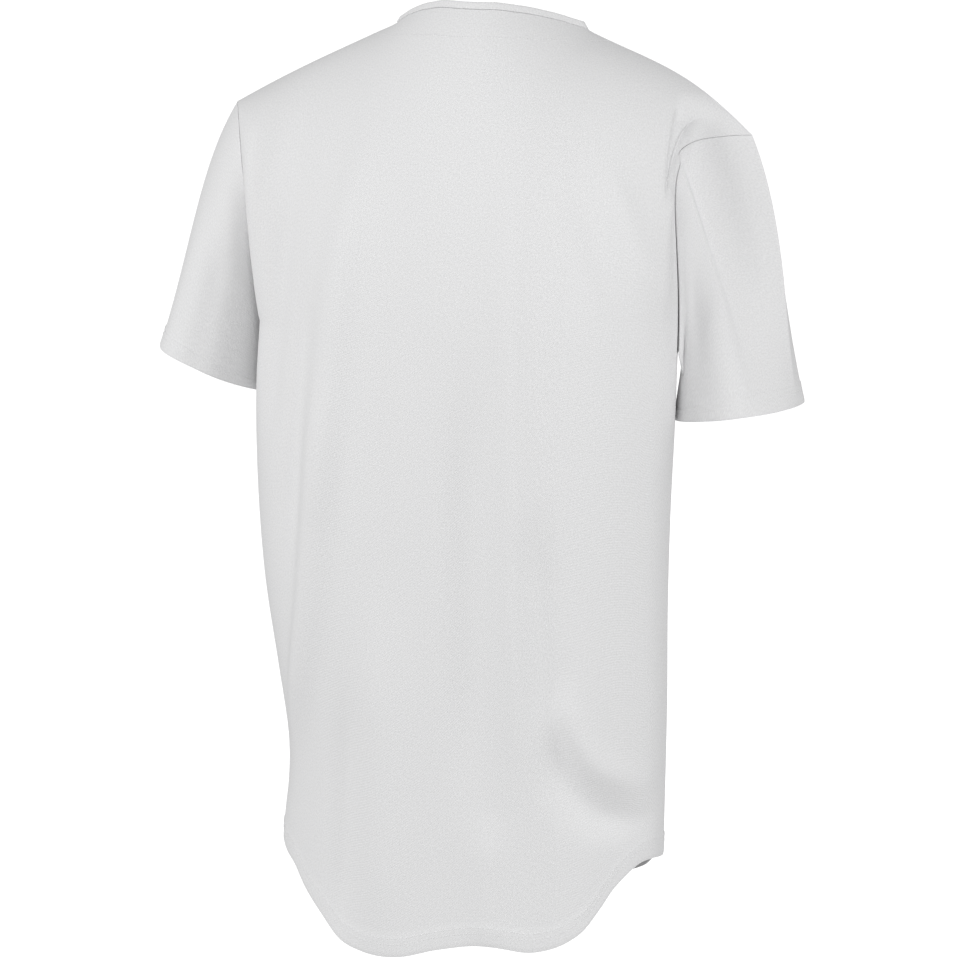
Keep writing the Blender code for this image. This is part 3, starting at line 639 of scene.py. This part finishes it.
def thread_material(name):
    """White polyester thread: a fine slanting twist as a bump."""
    made = bpy.data.materials.new(name)
    made.use_nodes = True
    tree = made.node_tree
    shader = tree.nodes["Principled BSDF"]
    shader.inputs["Base Color"].default_value = THREAD_COLOUR
    shader.inputs["Roughness"].default_value = THREAD_ROUGHNESS
    place = add_node(tree, "ShaderNodeTexCoord")
    twist = add_node(tree, "ShaderNodeTexWave", Scale=wave_scale(TWIST_PITCH), Distortion=0.0)
    tree.links.new(place.outputs["Object"], twist.inputs["Vector"])
    bump = add_node(tree, "ShaderNodeBump", Strength=TWIST_STRENGTH, Distance=TWIST_DEPTH)
    tree.links.new(twist.outputs["Fac"], bump.inputs["Height"])
    tree.links.new(bump.outputs["Normal"], shader.inputs["Normal"])
    return made


THREAD = thread_material("white_thread")
KNIT = knit_material("white_knit", RIB_PITCH, RIB_DEPTH)

back_half = np.concatenate(
    [spread(0, YOKE_SHARE, YOKE_HALF_CELLS)[:-1], spread(YOKE_SHARE, 1, BACK_OUTER_CELLS)]
)
back_across = np.concatenate([back_half[::-1], -back_half[1:]])
back_hem = follow(back_across, BACK_HEM["across"], BACK_HEM["height"])
yoke_seam_climb = arch_climb(back_across, YOKE_SHARE, YOKE_MIDDLE_Y, True, NECK_SHARE)
back, climbs = panel_grid(back_across, yoke_seam_climb, True, NECK_SHARE, back_hem)
back = with_folds(back, back_across, BACK_FOLDS, top_fade_of(climbs))
back = with_tuck(back)
back_normals = grid_normals(back)
on_shoulder = np.abs(back_across) >= YOKE_SHARE
back_normals[0, on_shoulder] = shoulder_normals(back[0, on_shoulder, 0])


# Fronts
# Two panels of the same knit, each from its shoulder seam and neckline to the hem. They meet the back at the
# side seams, and each has a straight band along the middle.

NECK_FRONT_Y = -0.100
NECK_FRONT_POWER = 0.6
FRONT_NECK_SHARE = 0.45
PLACKET_SHARE = 0.060
PLACKET_HALF_CELLS = 6
FRONT_NECK_CELLS = 20
FRONT_OUTER_CELLS = 40

# The hem of a front, from the middle to the side seam
FRONT_HEM = table(
    ("across", "height"),
    [(0.00, -0.7200), (0.35, -0.7220), (0.60, -0.7020), (0.80, -0.6780), (1.00, -0.67965)],
)

FRONT_FOLDS = table(
    FOLD_COLUMNS,
    [
        (0.072, -0.170, 0.084, -0.520, 0.000, 0.022, -0.0060),
        (0.104, -0.200, 0.126, -0.600, 0.000, 0.022, 0.0070),
        (0.050, -0.380, 0.060, -0.680, 0.000, 0.022, 0.0050),
        (0.140, -0.240, 0.110, -0.380, 0.000, 0.018, -0.0050),
    ],
)

front_half = np.concatenate(
    [
        spread(0, PLACKET_SHARE, PLACKET_HALF_CELLS)[:-1],
        spread(PLACKET_SHARE, FRONT_NECK_SHARE, FRONT_NECK_CELLS)[:-1],
        spread(FRONT_NECK_SHARE, 1, FRONT_OUTER_CELLS),
    ]
)
front_across = np.concatenate([-front_half[::-1], front_half[1:]])
front_hem = follow(np.abs(front_across), FRONT_HEM["across"], FRONT_HEM["height"])
front_hem = front_hem + by_side(front_across, "notch_shift") * np.abs(front_across)
neck_climb = arch_climb(
    front_across, FRONT_NECK_SHARE, NECK_FRONT_Y, False, FRONT_NECK_SHARE, NECK_FRONT_POWER
)
front, climbs = panel_grid(front_across, neck_climb, False, FRONT_NECK_SHARE, front_hem)
front = with_folds(front, front_across, FRONT_FOLDS, top_fade_of(climbs))
front_normals = grid_normals(front)
on_shoulder = np.abs(front_across) >= FRONT_NECK_SHARE
front_normals[0, on_shoulder] = shoulder_normals(front[0, on_shoulder, 0])

# Side seams: both walls end on one plane, from the underarm row down
first_side_row = SEAM_ROWS + UPPER_ROWS
for back_column, front_column in ((0, -1), (-1, 0)):
    mean = unit(back_normals[first_side_row:, back_column] + front_normals[first_side_row:, front_column])
    back_normals[first_side_row:, back_column] = mean
    front_normals[first_side_row:, front_column] = mean


# Sleeves
# Two short set-in sleeves, each one piece of knit sewn round the armhole and hanging from the shoulder. The
# cuff is turned in like the hem. The right sleeve hangs close to the body, and the left one stands out more.

SLEEVE_LENGTH = 0.21
SLEEVE_ROWS = 60
ARMHOLE_GAP_TOP = 0.1 * MM
ARMHOLE_GAP_UNDER = 1.9 * MM
SLEEVE_FOLD_END = 0.3

# Where panel and sleeve face alike, their walls end on one plane: from which agreement, and over how much
LEAN_FROM = 0.1
LEAN_OVER = 0.5

# The cuff's middle, its half width and half depth, the drop from its outer to its inner side, the lift of its
# back, and how the cloth leaves the armhole: swung out at the shoulder, out, and to the back
CUFF_COLUMNS = ("x", "y", "z", "half_width", "half_depth", "drop", "back_lift", "swing", "out", "deep")
CUFFS = {
    "left": dict(zip(CUFF_COLUMNS, (0.2330, 0.010, -0.298, 0.045, 0.074, 0.036, 0.010, 0.52, 0.10, 0.22))),
    "right": dict(zip(CUFF_COLUMNS, (0.2245, 0.000, -0.2990, 0.050, 0.062, 0.016, 0.000, 0.16, 0.32, 0.00))),
}

# Folds of a sleeve: turn round the tube in degrees from the top through the back, share of its length
SLEEVE_FOLDS = table(
    ("turn", "from_share", "to_share", "half_turn", "height"),
    [
        (62.0, 0.30, 1.00, 20.0, 0.0028),
        (98.0, 0.25, 0.95, 17.0, -0.0028),
        (300.0, 0.10, 0.95, 18.0, -0.0045),
        (335.0, 0.20, 1.00, 16.0, 0.0030),
    ],
)


def sleeve_folds(turn, shares):
    """Sum of the sleeve's folds: a bell round each fold's turn, with soft ends along the sleeve."""
    height = np.zeros((len(shares), len(turn)))
    for row in range(len(SLEEVE_FOLDS["height"])):
        apart = (turn - SLEEVE_FOLDS["turn"][row] + 180) % 360 - 180
        bump = np.exp(-((apart / SLEEVE_FOLDS["half_turn"][row]) ** 2))
        low, high = SLEEVE_FOLDS["from_share"][row], SLEEVE_FOLDS["to_share"][row]
        starts = smooth_step((shares - low) / SLEEVE_FOLD_END)
        ends = smooth_step((high + SLEEVE_FOLD_END - shares) / SLEEVE_FOLD_END)
        height += SLEEVE_FOLDS["height"][row] * (starts * ends)[:, None] * bump[None, :]
    return height


def sleeve_grid(side, loop, turns):
    """A sleeve: cubic lines that leave the armhole loop in their own direction and bend to the cuff."""
    cuff = CUFFS[side]
    sign = SIDES[side]["sign"]
    around = turns * 2 * math.pi
    outer_share = (1 + np.cos(around)) / 2
    aside = np.array([sign, 1.0, 1.0])
    clearance = ARMHOLE_GAP_TOP + (ARMHOLE_GAP_UNDER - ARMHOLE_GAP_TOP) * (1 - outer_share)
    loop = loop + clearance[:, None] * np.array([sign, 0.0, 0.0])
    swing = [np.cos(around), sign * np.sin(around), np.cos(around)]
    size = [cuff["half_width"], cuff["half_depth"], cuff["drop"] / 2]
    ring = np.stack([share * reach for share, reach in zip(swing, size)], axis=-1) * aside
    ring = ring + np.array([cuff["x"], cuff["y"], cuff["z"]]) * aside
    ring[:, 2] += cuff["back_lift"] * sign * np.sin(around)
    leaving_x = cuff["out"] + cuff["swing"] * outer_share
    leaving_y = sign * cuff["deep"] * np.sin(around)
    leaving = unit(np.stack([leaving_x, leaving_y, -1 + 0 * around], axis=-1) * aside)
    length = np.linalg.norm(ring - loop, axis=-1, keepdims=True)
    arriving = unit(ring - loop)
    hem_share = HEM_WIDTH / SLEEVE_LENGTH
    shares = np.concatenate([spread(0, 1 - hem_share, SLEEVE_ROWS), spread(1 - hem_share, 1, HEM_ROWS)[1:]])
    t = shares[:, None, None]
    start = (1 + 2 * t) * (1 - t) ** 2 * loop + t * (1 - t) ** 2 * length * leaving
    end = t**2 * (3 - 2 * t) * ring - t**2 * (1 - t) * length * arriving
    points = start + end
    height = sleeve_folds(np.degrees(around) * sign, shares)
    return points + grid_normals(points, closed_across=True) * height[..., None]


def loop_of(first_grid, second_grid, last_row, first_column, second_column):
    """The armhole: from the shoulder tip down one panel's edge and back up the other's."""
    down = first_grid[: last_row + 1, first_column]
    return np.concatenate([down, second_grid[1:last_row, second_column][::-1]])


armhole_last = SEAM_ROWS + UPPER_ROWS
climb_down = (1 - climbs) / 2
armhole_turns = np.concatenate([climb_down, 1 - climb_down[1:-1][::-1]])
for side, first, first_normals, second, second_normals in (
    ("left", back, back_normals, front, front_normals),
    ("right", front, front_normals, back, back_normals),
):
    sleeve = sleeve_grid(side, loop_of(first, second, armhole_last, 0, -1), armhole_turns)
    sleeve_normals = grid_normals(sleeve, closed_across=True)
    panel_normals = loop_of(first_normals, second_normals, armhole_last, 0, -1)
    agree = np.sum(panel_normals * sleeve_normals[0], axis=-1, keepdims=True)
    lean = smooth_step((agree + LEAN_FROM) / LEAN_OVER)
    new_panel_normals = unit(panel_normals + lean * sleeve_normals[0])
    sleeve_normals[0] = unit(sleeve_normals[0] + lean * panel_normals)
    first_normals[: armhole_last + 1, 0] = new_panel_normals[: armhole_last + 1]
    second_normals[1:armhole_last, -1] = new_panel_normals[armhole_last + 1 :][::-1]
    second_normals[0, -1] = new_panel_normals[0]
    sleeve = pull_in(sleeve, SEAM_GAP, ["top"])
    name = "sleeve_" + side
    made = add_cloth(name + "_cloth", sleeve, sleeve_normals, hem_thickness(sleeve), KNIT, True)
    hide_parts(name)
    stitches = add_stitches(name + "_stitches", hem_lines(sleeve, sleeve_normals, closed=True))


# Back yoke
# A shallow crescent of the same knit between the back neckline and the yoke seam, cut to sit on the
# shoulders. It is sewn to the back, and the seam is stitched over on its outside.

NECK_BACK_Y = 0.062
YOKE_ROWS = 14
ROUNDING = 1e-9

yoke_columns = np.abs(back_across) <= YOKE_SHARE + ROUNDING
seam_across = back_across[yoke_columns]
neck_across = seam_across * NECK_SHARE / YOKE_SHARE
neck_back_climb = arch_climb(neck_across, NECK_SHARE, NECK_BACK_Y, True, NECK_SHARE)
down = spread(0, 1, YOKE_ROWS)[:, None]
yoke_across = neck_across + (seam_across - neck_across) * down
yoke_climb = neck_back_climb + (yoke_seam_climb[yoke_columns] - neck_back_climb) * down
yoke = upper_point(yoke_across, yoke_climb, True, NECK_SHARE)
yoke_normals = grid_normals(yoke)
yoke_normals[:, [0, -1]] = shoulder_normals(yoke[:, [0, -1], 0])
seam_mean = unit(yoke_normals[-1] + back_normals[0, yoke_columns])
yoke_normals[-1] = seam_mean
back_normals[0, yoke_columns] = seam_mean


# Neckband
# A narrow strip of the knit folded over the raw neckline and stitched down. It stands up a little, and its
# two ends meet at the button bands.

BAND_HEIGHT = 7.0 * MM
BAND_CLOTH = 2.2 * MM
BAND_LEAN = 0.55
BAND_ROWS = 8
BAND_STITCH = 0.85
BAND_TOP_TAPER = np.array([0.45, 0.85])
BINDING_RIB_PITCH = 1.3 * MM
BINDING_RIB_DEPTH = 0.08 * MM

placket_first = front_half.size - 1 - PLACKET_HALF_CELLS
placket_last = front_half.size - 1 + PLACKET_HALF_CELLS
neck_first = placket_first - FRONT_NECK_CELLS
neck_last = placket_last + FRONT_NECK_CELLS
middle_column = front_half.size - 1
left_part = slice(middle_column, neck_last + 1)
right_part = slice(neck_first, middle_column + 1)
band_base = np.concatenate([front[0, left_part], yoke[0, 1:-1], front[0, right_part]])
panel_normals = np.concatenate(
    [front_normals[0, left_part], yoke_normals[0, 1:-1], front_normals[0, right_part]]
)
radial = unit((band_base - NECK_POINT * [0, 1, 0]) * [1, 1, 0])
rise = unit(radial * -BAND_LEAN + np.array([0, 0, 1.0]))
band = band_base + rise * BAND_HEIGHT * spread(1, 0, BAND_ROWS)[:, None, None]
band_normals = grid_normals(band)
band_normals[-1] = unit(band_normals[-1] + panel_normals)
left_count, right_count = neck_last - middle_column + 1, middle_column - neck_first + 1
yoke_normals[0, 1:-1] = band_normals[-1, left_count:-right_count]
front_normals[0, left_part] = band_normals[-1, :left_count]
front_normals[0, right_part] = band_normals[-1, -right_count:]
band = pull_in(band, SEAM_GAP * 2, ["bottom", "first", "last"])
BINDING = knit_material("white_neck_binding", BINDING_RIB_PITCH, BINDING_RIB_DEPTH)
band_thickness = np.full(band.shape[:2], BAND_CLOTH)
band_thickness[: BAND_TOP_TAPER.size] *= BAND_TOP_TAPER[:, None]
neckband = add_cloth("neckband_cloth", band, band_normals, band_thickness, BINDING)
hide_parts("neckband")
band_row = BAND_ROWS * BAND_STITCH
band_line = stitch_line(grid_row(band, band_row), grid_row(band_normals, band_row), BAND_CLOTH / 2)
band_stitches = add_stitches("neckband_stitches", [band_line])

# The yoke and the back, once their edges lean with the neckband: the seam itself is overstitched
yoke_grid = pull_in(yoke, SEAM_GAP, ["top", "bottom", "first", "last"])
yoke_cloth = add_cloth("yoke_cloth", yoke_grid, yoke_normals, CLOTH, KNIT)
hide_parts("back_yoke")
yoke_line = stitch_line(yoke[-1], yoke_normals[-1], CLOTH / 2)
yoke_stitches = add_stitches("yoke_stitches", [yoke_line])
back_grid = pull_in(back, SEAM_GAP, ["top", "first", "last"])
back_cloth = add_cloth("back_cloth", back_grid, back_normals, hem_thickness(back), KNIT)
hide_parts("back")
back_stitches = add_stitches("back_stitches", hem_lines(back, back_normals))


# Button bands and fronts
# Each band is a strip of the knit laid double along its front's middle edge and stitched down both sides. The
# wearer's left band carries the buttonholes and lies over the right one.

PLACKET_STEP = 1.0 * MM

# The columns of each piece, and how far in front of the fronts' surface it lies
fronts = {
    "front_right": (slice(0, placket_first + 1), 0.0),
    "placket_right": (slice(placket_first, placket_last + 1), -PLACKET_STEP),
    "placket_left": (slice(placket_first, placket_last + 1), PLACKET_STEP),
    "front_left": (slice(placket_last, None), 0.0),
}
for name, (columns, step) in fronts.items():
    piece = front[:, columns] + front_normals[:, columns] * step
    piece = pull_in(piece, SEAM_GAP, ["top", "first", "last"])
    thickness = hem_thickness(piece) if step == 0 else CLOTH
    piece_normals = front_normals[:, columns]
    made = add_cloth(name + "_cloth", piece, piece_normals, thickness, KNIT)
    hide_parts(name)
    if step == 0:
        lines = hem_lines(piece, piece_normals)
    else:
        lines = [
            stitch_line(piece[:, column], piece_normals[:, column], CLOTH / 2)
            for column in (1, piece.shape[1] - 2)
        ]
    stitches = add_stitches(name + "_stitches", lines)


# Buttons
# Seven small round shirt buttons of white plastic, moulded with a raised rim and four holes. Each has crossed
# thread through its holes and sits on the outside of the wearer's left band, done up.

BUTTON_COUNT = 7
BUTTON_RADIUS = 5.75 * MM
BUTTON_THICKNESS = 2.4 * MM
BUTTON_GAP = 0.35 * MM
BUTTON_TURNS = 64
BUTTON_RINGS = 40
HOLE_PLACE = 1.25 * MM
HOLE_RADIUS = 0.62 * MM
HOLE_DEPTH = 1.5 * MM
HOLE_EDGE = 0.16 * MM
CLOTH_OUTER = 0.75 * MM
FIRST_BUTTON_DROP = 0.012
LAST_BUTTON_Z = -0.610
PLASTIC_ROUGHNESS = 0.28
CLOUD_SCALE = 400.0
CLOUD_DETAIL = 3.0
CLOUD_COLOURS = ((0.80, 0.80, 0.79, 1.0), (0.86, 0.86, 0.85, 1.0))

# A button's face from its middle to its foot: share of the radius, share of the thickness
BUTTON_PROFILE = table(
    ("along", "radius_share", "height_share"),
    [
        (0.00, 0.00, 0.75),
        (0.50, 0.60, 0.75),
        (0.60, 0.72, 0.98),
        (0.72, 0.86, 1.00),
        (0.84, 0.97, 0.86),
        (0.92, 1.00, 0.60),
        (1.00, 0.97, 0.00),
    ],
)


def plastic_material(name):
    """Polished white plastic with a faint cloudy colour."""
    made = bpy.data.materials.new(name)
    made.use_nodes = True
    tree = made.node_tree
    shader = tree.nodes["Principled BSDF"]
    shader.inputs["Roughness"].default_value = PLASTIC_ROUGHNESS
    place = add_node(tree, "ShaderNodeTexCoord")
    cloud = add_node(tree, "ShaderNodeTexNoise", Scale=CLOUD_SCALE, Detail=CLOUD_DETAIL)
    ramp = add_node(tree, "ShaderNodeValToRGB")
    for element, colour in zip(ramp.color_ramp.elements, CLOUD_COLOURS):
        element.color = colour
    tree.links.new(place.outputs["Object"], cloud.inputs["Vector"])
    tree.links.new(cloud.outputs["Fac"], ramp.inputs["Fac"])
    tree.links.new(ramp.outputs["Color"], shader.inputs["Base Color"])
    return made


def button_mesh(centre, side, up, facing):
    """A turned button: rings of the profile from its middle over to its foot, with four pressed holes."""
    along = spread(0, 1, BUTTON_RINGS)[1:]
    radii = np.interp(along, BUTTON_PROFILE["along"], BUTTON_PROFILE["radius_share"]) * BUTTON_RADIUS
    heights = np.interp(along, BUTTON_PROFILE["along"], BUTTON_PROFILE["height_share"]) * BUTTON_THICKNESS
    turn = np.arange(BUTTON_TURNS) / BUTTON_TURNS * 2 * math.pi
    flat_x, flat_y = radii[:, None] * np.cos(turn), radii[:, None] * np.sin(turn)
    apart = np.hypot(np.abs(flat_x) - HOLE_PLACE, np.abs(flat_y) - HOLE_PLACE)
    pressed = HOLE_DEPTH * (1 - smooth_step((apart - HOLE_RADIUS + HOLE_EDGE) / (2 * HOLE_EDGE)))
    deep = heights[:, None] - pressed
    rings = centre + flat_x[..., None] * side + flat_y[..., None] * up + deep[..., None] * facing
    top = centre + facing * BUTTON_PROFILE["height_share"][0] * BUTTON_THICKNESS
    points = np.concatenate([rings.reshape(-1, 3), [top, centre]])
    ring, step = np.meshgrid(np.arange(len(along) - 1), np.arange(BUTTON_TURNS), indexing="ij")
    after = (step + 1) % BUTTON_TURNS
    here, there = ring * BUTTON_TURNS, (ring + 1) * BUTTON_TURNS
    quads = np.stack([here + step, there + step, there + after, here + after], axis=-1).reshape(-1, 4)
    start, onward = step[0], after[0]
    last = (len(along) - 1) * BUTTON_TURNS
    top_fan = np.stack([np.full(BUTTON_TURNS, len(points) - 2), start, onward], axis=-1)
    foot_fan = np.stack([last + onward, last + start, np.full(BUTTON_TURNS, len(points) - 1)], axis=-1)
    return points, quads.tolist() + top_fan.tolist() + foot_fan.tolist()


BUTTON_PLASTIC = plastic_material("white_button_plastic")
middle_line = front[:, middle_column] + front_normals[:, middle_column] * (PLACKET_STEP + CLOTH_OUTER)
first_button_z = middle_line[0, 2] - FIRST_BUTTON_DROP
thread_height = BUTTON_PROFILE["height_share"][0] * BUTTON_THICKNESS - STITCH_HEIGHT * STITCH_PROUD
for number in range(BUTTON_COUNT):
    z = first_button_z + (LAST_BUTTON_Z - first_button_z) * number / (BUTTON_COUNT - 1)
    place = np.array([np.interp(-z, -middle_line[:, 2], middle_line[:, axis]) for axis in range(3)])
    facing = [np.interp(-z, -middle_line[:, 2], front_normals[:, middle_column, axis]) for axis in range(3)]
    facing = unit(np.array(facing))
    side = unit(np.cross([0.0, 0.0, 1.0], facing))
    up = np.cross(facing, side)
    centre = place + facing * BUTTON_GAP
    name = "button_" + str(number + 1)
    points, faces = button_mesh(centre, side, up, facing)
    button = add_mesh(name + "_fine", points, faces, BUTTON_PLASTIC)
    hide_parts(name)
    face = centre + facing * thread_height
    crossed = []
    for turned in (side + up, side - up):
        ends = face + np.array([[-1.0], [1.0]]) * turned * HOLE_PLACE
        crossed.append(stitch_line(ends, np.array([facing, facing]), 0.0))
    add_stitches(name + "_thread", crossed)


# Floor, light and camera
# A plain white floor far below the held garment, soft even light from the camera's side, and the camera at
# the photo's viewing angle.

FLOOR_Z = -1.45
FLOOR_HALF = 60.0
FLOOR_COLOUR = (0.9, 0.9, 0.9, 1.0)
FLOOR_ROUGHNESS = 0.9
FLOOR_GLOW = 0.8
WHITE = (1.0, 1.0, 1.0, 1.0)
WORLD_STRENGTH = 0.40
VIEW_TURN = math.radians(20)
VIEW_RISE = math.radians(10)
VIEW_ROLL = math.radians(1.9)
VIEW_DISTANCE = 3.6
VIEW_TARGET = np.array([-0.0236, 0.0601, -0.3658])
VIEW_LENS = 163.6
VIEW_REACH = 300.0

# Softboxes: turn from straight behind and rise above level, both in degrees, and power in watts
LIGHT_DISTANCE = 4.0
LIGHT_SIZE = 2.5
LIGHTS = {
    "middle_light": (10, 20, 46),
    "left_light": (-52, 12, 63),
    "right_light": (76, 8, 57),
}

corners = np.array([(-1, -1), (1, -1), (1, 1), (-1, 1)]) * FLOOR_HALF
floor_points = np.column_stack([corners, np.full(len(corners), FLOOR_Z)])
floor_mesh = bpy.data.meshes.new("floor")
floor_mesh.from_pydata(floor_points, [], [(0, 1, 2, 3)])
floor = bpy.data.objects.new("floor", floor_mesh)
bpy.context.scene.collection.objects.link(floor)
floor.visible_diffuse = False
floor.visible_glossy = False
paper = bpy.data.materials.new("floor_white")
paper.use_nodes = True
paper_shader = paper.node_tree.nodes["Principled BSDF"]
paper_shader.inputs["Base Color"].default_value = FLOOR_COLOUR
paper_shader.inputs["Roughness"].default_value = FLOOR_ROUGHNESS
paper_shader.inputs["Emission Color"].default_value = WHITE
paper_shader.inputs["Emission Strength"].default_value = FLOOR_GLOW
floor_mesh.materials.append(paper)

world = bpy.data.worlds.new("studio")
world.use_nodes = True
sky = world.node_tree.nodes["Background"]
sky.inputs["Color"].default_value = WHITE
sky.inputs["Strength"].default_value = WORLD_STRENGTH
bpy.context.scene.world = world


def direction(turn, rise):
    """The unit direction at a turn from straight behind to the wearer's right, and a rise above level."""
    level = math.cos(rise)
    return np.array([-math.sin(turn) * level, math.cos(turn) * level, math.sin(rise)])


towards = direction(VIEW_TURN, VIEW_RISE)
right = np.array([-math.cos(VIEW_TURN), -math.sin(VIEW_TURN), 0.0])
up = np.cross(towards, right)
rolled_right = right * math.cos(VIEW_ROLL) + up * math.sin(VIEW_ROLL)
rolled_up = up * math.cos(VIEW_ROLL) - right * math.sin(VIEW_ROLL)
camera_data = bpy.data.cameras.new("camera")
camera_data.lens = VIEW_LENS
camera_data.clip_end = VIEW_REACH
camera = bpy.data.objects.new("camera", camera_data)
bpy.context.scene.collection.objects.link(camera)
placed = np.eye(4)
placed[:3, 0], placed[:3, 1], placed[:3, 2] = rolled_right, rolled_up, towards
placed[:3, 3] = VIEW_TARGET + towards * VIEW_DISTANCE
camera.matrix_world = Matrix(placed.tolist())
bpy.context.scene.camera = camera


def add_softbox(name, turn, rise, power):
    """A square soft light that faces the jersey from a direction."""
    light = bpy.data.lights.new(name, "AREA")
    light.shape = "SQUARE"
    light.size = LIGHT_SIZE
    light.energy = power
    made = bpy.data.objects.new(name, light)
    bpy.context.scene.collection.objects.link(made)
    aim = direction(math.radians(turn), math.radians(rise))
    side = unit(np.cross([0.0, 0.0, 1.0], aim))
    light_place = np.eye(4)
    light_place[:3, 0], light_place[:3, 1], light_place[:3, 2] = side, np.cross(aim, side), aim
    light_place[:3, 3] = VIEW_TARGET + aim * LIGHT_DISTANCE
    made.matrix_world = Matrix(light_place.tolist())


for name, (turn, rise, power) in LIGHTS.items():
    add_softbox(name, turn, rise, power)

bpy.context.scene.view_settings.view_transform = "Standard"
